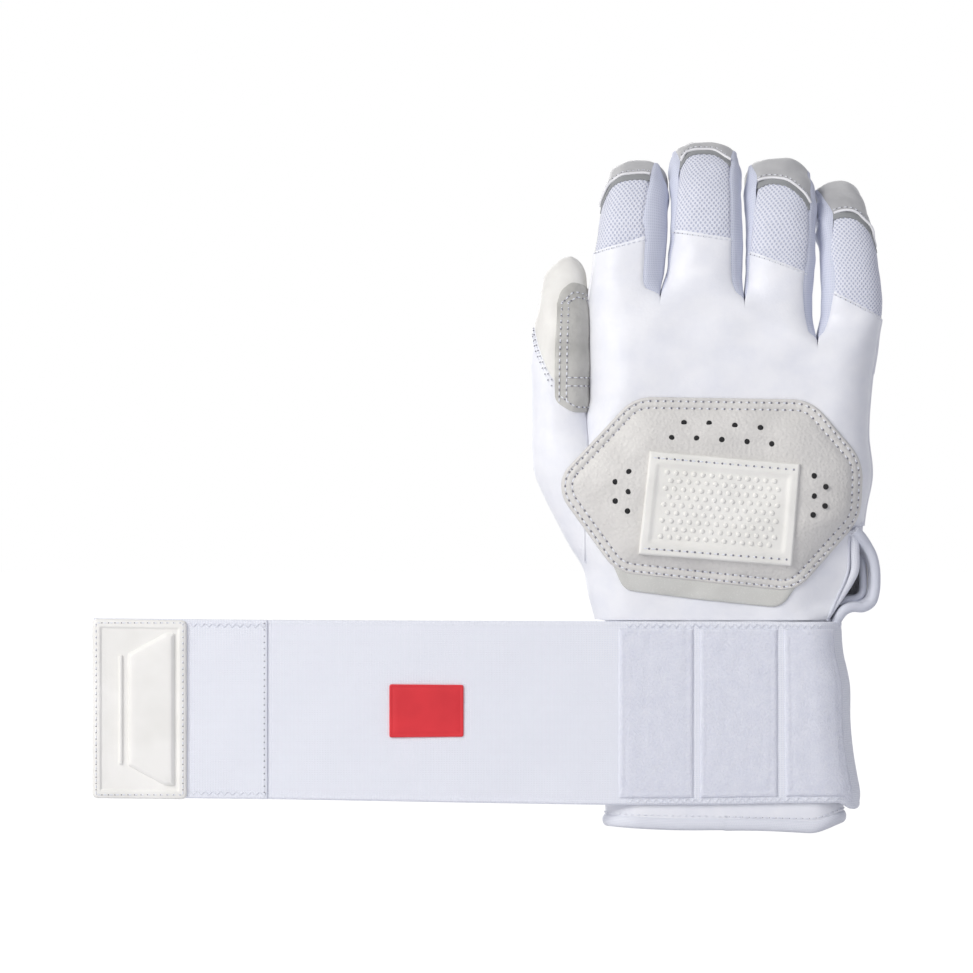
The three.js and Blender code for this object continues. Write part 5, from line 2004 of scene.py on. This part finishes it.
@dataclass
class Cuff:
    """The wrist's cuff wall and its rolled hem.

    Attributes:
        half_width: Half its width.
        half_depth: Half its depth.
        wall: Thickness of its wall.
        foot: Height of the wall's lower edge.
        neck: Height where it turns into the hand's own section.
        neck_left: Left end of its section at the neck.
        hand_left: Left end of the hand's section above it.
        hand_right: Right end of both.
        hem_slope: Fall of the hem across the wrist.
    """

    half_width: float = 43.2
    half_depth: float = 12.5
    wall: float = 1.5
    foot: float = 3.0
    neck: float = 76.2
    neck_left: float = -43.3
    hand_left: float = -46.8
    hand_right: float = 40.2
    hem_slope: float = 0.024

    def plan(self, turn: Array, grow: float = 0.0) -> tuple[Array, Array]:
        """Gives x and y round the cuff: flat sides with round ends.

        Args:
            turn: Shares of a full turn from the middle of the back, towards the little finger.
            grow: How far outside the wall.

        Returns:
            The x and the y.
        """
        flat = self.half_width - self.half_depth
        radius = self.half_depth + grow
        arc = math.pi * self.half_depth
        whole = 4.0 * flat + 2.0 * arc
        s = np.mod(turn, 1.0) * whole
        right = (s - flat) / arc * math.pi
        left = (s - 3.0 * flat - arc) / arc * math.pi
        zones = [s < flat, s < flat + arc, s < 3 * flat + arc, s < 3 * flat + 2 * arc]
        x = np.select(
            zones, [s, flat + radius * np.sin(right), 2 * flat + arc - s, -flat - radius * np.sin(left)],
            s - whole)
        y = np.select(zones, [-radius, -radius * np.cos(right), radius, radius * np.cos(left)], -radius)
        return x, y

    @staticmethod
    def rise(x: Array) -> Array:
        """Gives how far the hem curves up at its little finger end."""
        return 3.6 * smooth(x, 30.0, 44.0)

    def half(self, first: float, last: float) -> Panel:
        """Makes the wall between two shares of a turn, drawn up to the hand's own section.

        Args:
            first: The share where it starts.
            last: The share where it ends.

        Returns:
            The wall.
        """
        turn = np.linspace(first, last, 90)[None, :]
        z = np.concatenate([np.linspace(self.foot, self.neck, 40),
                            np.linspace(self.neck + 0.2, FORM.cuff_top - 0.2, 4)])[:, None]
        x, y, z = np.broadcast_arrays(*self.plan(turn), z)
        side = np.where(y < 0.0, -1.0, 1.0)
        across = (x + self.half_width) / (2.0 * self.half_width)
        hand_x = lerp(self.hand_left, self.hand_right, across)
        z = np.maximum(z, self.foot + self.rise(x))
        x = x + np.minimum(Strap.flare(z), 0.0) * smooth(x, 10.0, 40.0)
        depth = FORM.whole_depth(hand_x, np.full(z.shape, FORM.cuff_top), side)
        hand_y = side * np.maximum(depth - 0.4, 0.1)
        share = smooth(z, 50.0, 76.0)
        drawn = lerp(x, lerp(self.neck_left, self.hand_right, across), share)
        wall_x = lerp(drawn, hand_x, smooth(z, self.neck, self.neck + 0.5))
        return Panel.skin(to_points(wall_x, lerp(y, hand_y, share), z), self.wall)

    def build(self) -> None:
        """Makes the two halves of the wall and the hem."""
        mount(make_piece("cuff_back_wall", [self.half(-0.25, 0.25)], WHITE_LEATHER), "hand", "cuff_back")
        mount(make_piece("cuff_palm_wall", [self.half(0.25, 0.75)], PALM_LEATHER), "hand", "cuff_palm")
        turn = np.linspace(0.0, 1.0, 161)[None, :-1]
        round_ = np.linspace(-math.pi, math.pi, 21)[:, None]
        reach = -0.35 + 1.35 * np.cos(round_)
        x, y = self.plan(turn)
        out_x, out_y = self.plan(turn, 1.0)
        x = x + (out_x - x) * reach
        y = y + (out_y - y) * reach
        z = 2.9 - self.hem_slope * x + self.rise(x) + 2.2 * np.sin(round_) + 0.25 * np.sin(turn * 26.0)
        roll = to_points(x, y, z)
        middle = roll[:-1].mean(axis=0, keepdims=True)
        hem = Panel(roll, lerp(roll, middle, 0.25), ring=True)
        mount(make_piece("cuff_hem", [hem], BINDING), "hand", "cuff_binding")
        x, y = self.plan(np.linspace(0.0, 1.0, 200), 0.25)
        path = to_points(x, y, 5.8 - self.hem_slope * x + self.rise(x))
        mount(sew("cuff_stitching", [path], 2.4, 0.2, 0.14), "hand")


@dataclass
class Strap:
    """The elastic strap from the wrist out to the pull tab, with its loop panels, label and hook tape.

    Attributes:
        inside: Distance of its inside face from the middle plane.
        thickness: Its thickness.
        flat_end: Where its bend round the wrist's outer side starts.
        wrist_turn: Where the part starts that gives way under the wrapped strap.
        wrist_end: Its sewn end, round the wrist's outer side.
        give: Share of its width that the outer side keeps when the strap is wrapped over it.
        folds: The four places where it folds round the wrist.
        cuts: Where one stretch of it gives way to the next.
        tip: Its free end.
        double_end: Where its doubled end stops.
        double_lift: Height of the doubled end's stitches.
        ease: Half the length that turns at a fold.
        thread: Radius of its zigzag thread.
        loops: Left and right end of each loop panel.
        loop_margin: How far the loop panels stay inside its edges.
        label_place: The label's centre as x and z.
        label_size: The label's width and height.
        hook_ends: How far the hook tape's ends are from the tip.
        hook_heights: Bottom and top of the hook tape.
        hook_rows: Heights of the first row of hooks and the end of the last.
        hook_pitch: Spacing of the hooks, drawn coarser than real so that they show.
        top: Its upper edge as (length, height).
        bottom: Its lower edge as (length, height).
        flare: How far its end stands out at the wrist's outer side, as (height, distance).
    """

    inside: float = 12.8
    thickness: float = 1.6
    flat_end: float = 30.7
    wrist_turn: float = 30.0
    wrist_end: float = 50.2
    give: float = 0.76
    folds: tuple[float, float, float, float] = (-44.0, -69.6, -159.1, -189.3)
    cuts: Trio = (-56.8, -114.35, -174.2)
    tip: float = -227.9
    double_end: float = -165.2
    double_lift: float = 2.35
    ease: float = 3.5
    thread: float = 0.16
    loops: Stations = ((-38.4, -11.9), (-9.3, 18.4), (21.2, 41.5))
    loop_margin: float = 2.6
    label_place: Pair = (-107.8, 44.0)
    label_size: Pair = (26.7, 18.7)
    hook_ends: Pair = (2.0, 34.0)
    hook_heights: Pair = (13.5, 74.5)
    hook_rows: Pair = (15.4, 73.2)
    hook_pitch: float = 1.7
    top: ClassVar[Profile] = Profile((-228, 77.3), (-165, 76.7), (-49, 76.2), (41, 75.9))
    bottom: ClassVar[Profile] = Profile(
        (-228, 12.9), (-166, 12.2), (-49, 10.2), (-9, 10.2), (37, 10.7), (40, 9.4), (43, 8.4), (47, 8.2),
        (50.5, 9.0))
    flare: ClassVar[Profile] = Profile(
        (8, 3.7), (14, 4.1), (20.5, 3.0), (29, 1.6), (40, 0.6), (52, 0.5), (58, -0.5), (64, -1.9),
        (70, -2.5), (76, -2.6))

    def point(self, s: Array, z: Array, lift: Array) -> Array:
        """Gives points along the strap, which turns round the wrist's outer side.

        Args:
            s: Lengths along the strap, equal to x on its flat part.
            z: Heights.
            lift: Distances outside its inside face.

        Returns:
            The points.
        """
        radius = self.inside + lift
        turn = np.maximum(s - self.flat_end, 0.0) / self.inside
        x = np.minimum(s, self.flat_end) + radius * np.sin(turn) + self.flare(z) * smooth(s, 17.0, 40.0)
        waves = ripple(s, z, 41, 30.0, 0.25) * smooth(-s, 48.0, 60.0) * 0.6
        return to_points(x, -radius * np.cos(turn) - waves, z)

    def stretch(self, first: float, last: float, low: float = 0.0, high: float | None = None) -> Panel:
        """Makes a stretch of the strap between two places, with soft selvages.

        Args:
            first: Its left end.
            last: Its right end.
            low: How far its inside stands off the strap's inside face.
            high: How far its outside stands off it, or None for the strap's thickness.

        Returns:
            The stretch.
        """
        high = self.thickness if high is None else high
        s = np.linspace(first, last, int((last - first) / 1.2) + 2)[None, :]
        z = lerp(self.bottom(s), self.top(s), spread(46, 0.85)[:, None])
        edge = np.minimum(z - self.bottom(s), self.top(s) - z)
        groove = 0.18 * np.exp(-((edge - 2.2) / 0.6) ** 2)
        lift = lerp(low + 0.15, high, round_edge(edge + 0.1, 0.9)) - groove
        flat = np.stack(np.broadcast_arrays(s, z), axis=2)
        return Panel(self.point(s, z, lift), self.point(s, z, low), uv=flat)

    def folded(self, piece: Piece, fold: int, *nodes: str) -> None:
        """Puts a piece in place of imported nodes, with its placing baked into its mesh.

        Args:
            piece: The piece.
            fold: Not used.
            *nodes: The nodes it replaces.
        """
        if nodes:
            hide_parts(*nodes)
        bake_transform(piece)

    def pressed(self, piece: Piece) -> None:
        """Rides a piece on the hand, with a mesh of its own."""
        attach(piece, "hand")
        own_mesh(piece)

    def zigzags(self, first: float, last: float, inset: float, lift: float) -> list[Array]:
        """Gives zigzag thread paths along the strap's two edges.

        Args:
            first: Their left end.
            last: Their right end.
            inset: How far in from the edges they run.
            lift: Their distance outside the strap's inside face.

        Returns:
            The upper and the lower path.
        """
        wave, reach = 2.8, 0.8
        s = np.linspace(first, last, int((last - first) / (wave / 8.0)) + 2)
        swing = reach * (2.0 * np.abs(2.0 * np.mod(s / wave, 1.0) - 1.0) - 1.0)
        middles = (self.top(s) - inset, self.bottom(s) + inset)
        return [self.point(s, middle + swing, lift) for middle in middles]

    def build(self) -> None:
        """Makes the strap's stretches and what is sewn to them."""
        stretches = ((self.cuts[0], self.wrist_turn, "strap_wrist", ("strap_anchor",)),
                     (self.cuts[1], self.cuts[0], "strap_near", ("strap_side",)),
                     (self.cuts[2], self.cuts[1], "strap_middle", ("strap_run",)),
                     (self.tip + 0.4, self.cuts[2], "strap_outer", ("strap_far_side", "strap_end")))
        for fold, (first, last, name, nodes) in enumerate(stretches):
            self.folded(make_piece(name, [self.stretch(first, last)], ELASTIC), fold, *nodes)
        wrist_end = self.stretch(self.wrist_turn, self.wrist_end)
        self.pressed(make_piece("strap_wrist_end", [wrist_end], ELASTIC))
        doubled = self.stretch(self.tip + 1.0, self.double_end, 1.3, 2.3)
        self.folded(make_piece("strap_doubled", [doubled], ELASTIC), 3)
        edges = self.zigzags(-193.0, self.double_end - 0.5, 2.0, self.double_lift)
        self.folded(lay_cord("strap_edge_thread", edges, self.thread, THREAD), 3)
        end = self.point(np.full(60, self.double_end - 0.9), np.linspace(13.6, 75.4, 60), self.double_lift)
        self.folded(sew("strap_end_stitches", [end], 2.2, 0.22, 0.26), 3)
        wrist = self.zigzags(-36.0, 37.0, 1.4, self.thickness + 0.1)
        self.folded(lay_cord("strap_wrist_thread", wrist, self.thread, THREAD), 0)
        self.build_loops()
        self.build_label()
        self.build_hooks()

    def build_loops(self) -> None:
        """Makes the three loop panels on the wrist."""
        for i, (first, last) in enumerate(self.loops):
            s = lerp(first, last, spread(40, 0.8)[None, :])
            low, high = self.bottom(s) + self.loop_margin, self.top(s) - self.loop_margin
            z = lerp(low, high, spread(60, 0.8)[:, None])
            edge = np.minimum(np.minimum(s - first, last - s), np.minimum(z - low, high - z))
            lift = self.thickness + 0.1 + 0.75 * round_edge(edge + 0.05, 1.8)
            lift = lift + ripple(s, z, 50 + i, 5.0, 0.06) - 0.14 * np.exp(-((edge - 2.2) / 0.6) ** 2)
            panel = Panel(self.point(s, z, lift), self.point(s, z, self.thickness - 0.2))
            piece = make_piece(f"wrist_loop_{i + 1}", [panel], LOOP)
            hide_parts(f"loop_panel_{i + 1}")
            if last > self.wrist_turn:
                self.pressed(piece)
            else:
                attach(piece, "hand")

    def build_label(self) -> None:
        """Makes the plain label, with a pressed line inside its edge."""
        x, z = self.label_place
        width, height = self.label_size
        corners = ((x - width / 2, z - height / 2 - 0.2), (x + width / 2, z - height / 2),
                   (x + width / 2, z + height / 2), (x - width / 2, z + height / 2 + 0.2))
        face = -(self.inside + self.thickness)
        plate = Outline(corners, 0.9, 1.2).plate(
            (0.0, 0.12, 0.35, 0.7, 1.1, 1.4, 1.8), 8, (x, z),
            lambda inset, px, pz: face - 0.25 - 0.5 * round_edge(inset + 0.05, 0.4)
            + 0.16 * np.exp(-((inset - 1.2) / 0.28) ** 2), lambda px, pz: face + 0.3)
        mount(make_piece("plain_label", [plate], LABEL_FILM), "strap_second", "strap_label")

    def build_hooks(self) -> None:
        """Makes the hook tape behind the pull tab."""
        first, last = self.tip + self.hook_ends[0], self.tip + self.hook_ends[1]
        low, high = self.hook_heights
        x, z = np.meshgrid(spread(24, 0.8) * (first - last) + last, lerp(low, high, spread(40, 0.8)))
        edge = np.minimum(np.minimum(x - first, last - x), np.minimum(z - low, high - z))
        outer = to_points(x, -self.inside + 0.2 + 0.6 * round_edge(edge + 0.05, 0.6), z)
        tape = make_piece("hook_tape", [Panel(outer, to_points(x, -self.inside - 0.3, z))], HOOK)
        mount(tape, "strap_fourth", "hook_patch")
        px, pz = np.meshgrid(np.arange(first + 1.8, last - 1.2, self.hook_pitch),
                             np.arange(*self.hook_rows, self.hook_pitch))
        spots = to_points(px.ravel(), -self.inside + 0.85, pz.ravel())
        mount(set_dots("hook_points", spots, OUT_OF_PALM, 0.4, 0.4, HOOK), "strap_fourth")


@dataclass
class PullTab:
    """The moulded pull tab: a bevelled frame, a raised field that narrows to the end, and a bar.

    Attributes:
        left: Its free end.
        right: Its end towards the wrist.
        low: Its bottom.
        high: Its top.
        back: The y of its back.
        frame: Height of the frame at an inset.
        wedge: Height of the raised field at an inset.
        bar: Height of the bar at an inset.
    """

    left: float = -227.9
    right: float = -193.9
    low: float = 12.6
    high: float = 77.2
    back: float = -14.6
    frame: ClassVar[Profile] = Profile(
        (0, 0.4), (0.25, 1.5), (0.6, 2.0), (2.2, 2.1), (2.8, 2.05), (3.3, 1.5), (3.6, 1.45), (30, 1.45))
    wedge: ClassVar[Profile] = Profile((0, 1.0), (0.15, 1.75), (1.3, 2.85), (1.6, 2.95), (30, 2.95))
    bar: ClassVar[Profile] = Profile((0, 1.0), (0.1, 1.9), (0.45, 2.4), (5, 2.45))

    def raised(self, corners: Stations, radius: float, heights: Profile, rings: Sequence[float],
               base: float) -> Panel:
        """Makes a raised plate.

        Args:
            corners: Its corners as (x, z).
            radius: The rounding of its corners.
            heights: Its height at an inset from its edge.
            rings: Insets of its rings.
            base: The y of its back.

        Returns:
            The plate.
        """
        middle = np.mean(np.array(corners, float), axis=0)
        return Outline(corners, radius, 1.6).plate(
            rings, 6, (float(middle[0]), float(middle[1])), lambda inset, x, z: self.back - heights(inset),
            lambda x, z: base)

    def build(self) -> None:
        """Makes the tab and its stitches."""
        left, right, low, high = self.left, self.right, self.low, self.high
        outline = ((left, low), (right, low - 0.4), (right, high - 0.6), (left, high))
        base = self.raised(outline, 2.2, self.frame,
                           (0.0, 0.12, 0.25, 0.45, 0.7, 2.2, 2.5, 2.8, 3.05, 3.3, 3.6), -14.2)
        trapeze = ((right - 4.2, low + 4.4), (right - 4.2, high - 5.0), (-201.6, high - 5.0),
                   (-215.2, high - 12.6), (-215.2, low + 11.8), (-201.6, low + 4.4))
        facet = self.raised(trapeze, 1.0, self.wedge, (0.0, 0.15, 0.5, 0.9, 1.3, 1.6), -15.0)
        strip = ((-218.4, low + 12.2), (-216.9, low + 12.2), (-216.9, high - 13.0), (-218.4, high - 13.0))
        ridge = self.raised(strip, 0.5, self.bar, (0.0, 0.1, 0.3, 0.5), -15.0)
        tab = make_piece("tab_moulding", [base, facet, ridge], TAB_RUBBER)
        mount(tab, "strap_fourth", "pull_tab")
        face = self.back - 2.12
        z = np.linspace(low + 2.0, high - 2.2, 60)
        rows = [to_points(x, face, z) for x in (left + 1.4, right - 1.4)]
        x = np.linspace(left + 2.4, right - 2.4, 40)
        rows.extend(to_points(x, face, z) for z in (low + 1.3, high - 1.5))
        mount(sew("tab_stitching", rows, 2.2, 0.2, 0.22), "strap_fourth")


@dataclass
class Studio:
    """The floor, the lamps and the camera at the photograph's viewing angle.

    Attributes:
        aim: Where the camera looks, in millimetres.
        frame: Width of the picture at the back of the hand, in millimetres.
        lens: Focal length in millimetres.
        sensor: Width of the camera's sensor in millimetres.
        lit: What the lamps face, in metres.
    """

    aim: Trio = (-86.2, -13.0, 124.7)
    frame: float = 350.3
    lens: float = 200.0
    sensor: float = 36.0
    lit: Trio = (-0.03, 0.0, 0.12)

    def camera(self) -> None:
        """Sets the camera straight in front of the back of the hand."""
        data = bpy.data.cameras.new("camera")
        data.lens = self.lens
        data.sensor_width = self.sensor
        data.clip_start = 0.05
        data.clip_end = 20.0
        camera = bpy.data.objects.new("camera", data)
        distance = self.frame * self.lens / self.sensor
        camera.location = Vector((self.aim[0], self.aim[1] - distance, self.aim[2])) * MM
        camera.rotation_euler = (math.pi / 2.0, 0.0, 0.0)
        bpy.context.scene.collection.objects.link(camera)
        bpy.context.scene.camera = camera

    def lamp(self, name: str, place: Trio, size: float, power: float,
             colour: str) -> None:
        """Adds a soft square lamp that faces the glove.

        Args:
            name: The lamp's name.
            place: Its place in metres.
            size: Its side in metres.
            power: Its power in watts.
            colour: Its sRGB colour.
        """
        data = bpy.data.lights.new(name, "AREA")
        data.size = size
        data.energy = power
        data.color = linear(colour)[:3]
        lamp = bpy.data.objects.new(name, data)
        lamp.location = place
        lamp.rotation_euler = (Vector(self.lit) - Vector(place)).to_track_quat("-Z", "Y").to_euler()
        bpy.context.scene.collection.objects.link(lamp)

    @staticmethod
    def seen(tree: Tree) -> Node:
        """Adds a mask that is 1 where the room is seen, directly, in gloss or through glass.

        Args:
            tree: The tree that gets the nodes.

        Returns:
            The mask.
        """
        path = add_node(tree, "ShaderNodeLightPath").outputs
        plain = add_node(tree, "ShaderNodeMath", {0: path["Is Camera Ray"], 1: path["Is Glossy Ray"]},
                         operation="MAXIMUM")
        return add_node(tree, "ShaderNodeMath", {0: plain, 1: path["Is Transmission Ray"]},
                        operation="MAXIMUM")

    def world(self) -> None:
        """Lights the room softly and shows it white behind the glove."""
        world = bpy.data.worlds.new("room")
        world.use_nodes = True
        tree = world.node_tree
        tree.nodes.clear()
        soft = add_node(tree, "ShaderNodeBackground", {"Color": linear("#eeeff8"), "Strength": 0.46})
        white = add_node(tree, "ShaderNodeBackground", {"Color": linear("#ffffff"), "Strength": 1.0})
        mixed = add_node(tree, "ShaderNodeMixShader", {0: self.seen(tree), 1: soft, 2: white})
        add_node(tree, "ShaderNodeOutputWorld", {"Surface": mixed})
        bpy.context.scene.world = world

    def floor(self) -> None:
        """Lays a pale floor that shows white and keeps a faint shadow."""
        mesh = bpy.data.meshes.new("floor")
        reach, level_z = 6.0, -0.002
        corners = ((-reach, -reach), (reach, -reach), (reach, reach), (-reach, reach))
        mesh.from_pydata([(x, y, level_z) for x, y in corners], [], [(0, 1, 2, 3)])
        made = bpy.data.materials.new("pale_floor")
        made.use_nodes = True
        tree = made.node_tree
        tree.nodes.clear()
        share = add_node(tree, "ShaderNodeMath", {0: self.seen(tree), 1: 0.9}, operation="MULTIPLY")
        cloth = add_node(tree, "ShaderNodeBsdfDiffuse", {"Color": linear("#f4f4f6")})
        glow = add_node(tree, "ShaderNodeEmission", {"Color": linear("#ffffff"), "Strength": 1.12})
        mixed = add_node(tree, "ShaderNodeMixShader", {0: share, 1: cloth, 2: glow})
        add_node(tree, "ShaderNodeOutputMaterial", {"Surface": mixed})
        mesh.materials.append(made)
        new_object("floor", mesh)

    def build(self) -> None:
        """Sets up the room."""
        bpy.context.scene.view_settings.view_transform = "Standard"
        self.camera()
        self.world()
        self.floor()
        self.lamp("key_lamp", (-1.2, -1.25, 0.95), 0.9, 22.5, "#fffdf8")
        self.lamp("fill_lamp", (1.2, -1.2, 0.3), 1.0, 0.8, "#eef0ff")
        self.lamp("back_lamp", (-0.5, 1.5, 0.5), 1.0, 7.0, "#ffffff")


def main() -> None:
    """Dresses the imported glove, sets up the studio and reports each piece."""
    logging.basicConfig(level=logging.INFO, format="%(message)s")
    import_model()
    for part in (Studio(), Hand(), KnucklePad(), *FINGERS, THUMB, Cuff(), Strap(), PullTab()):
        known = set(bpy.data.objects.keys())
        part.build()
        for name in bpy.data.objects.keys():
            if name not in known:
                log.info("%s: %s", type(part).__name__, name)


if __name__ == "__main__":
    main()
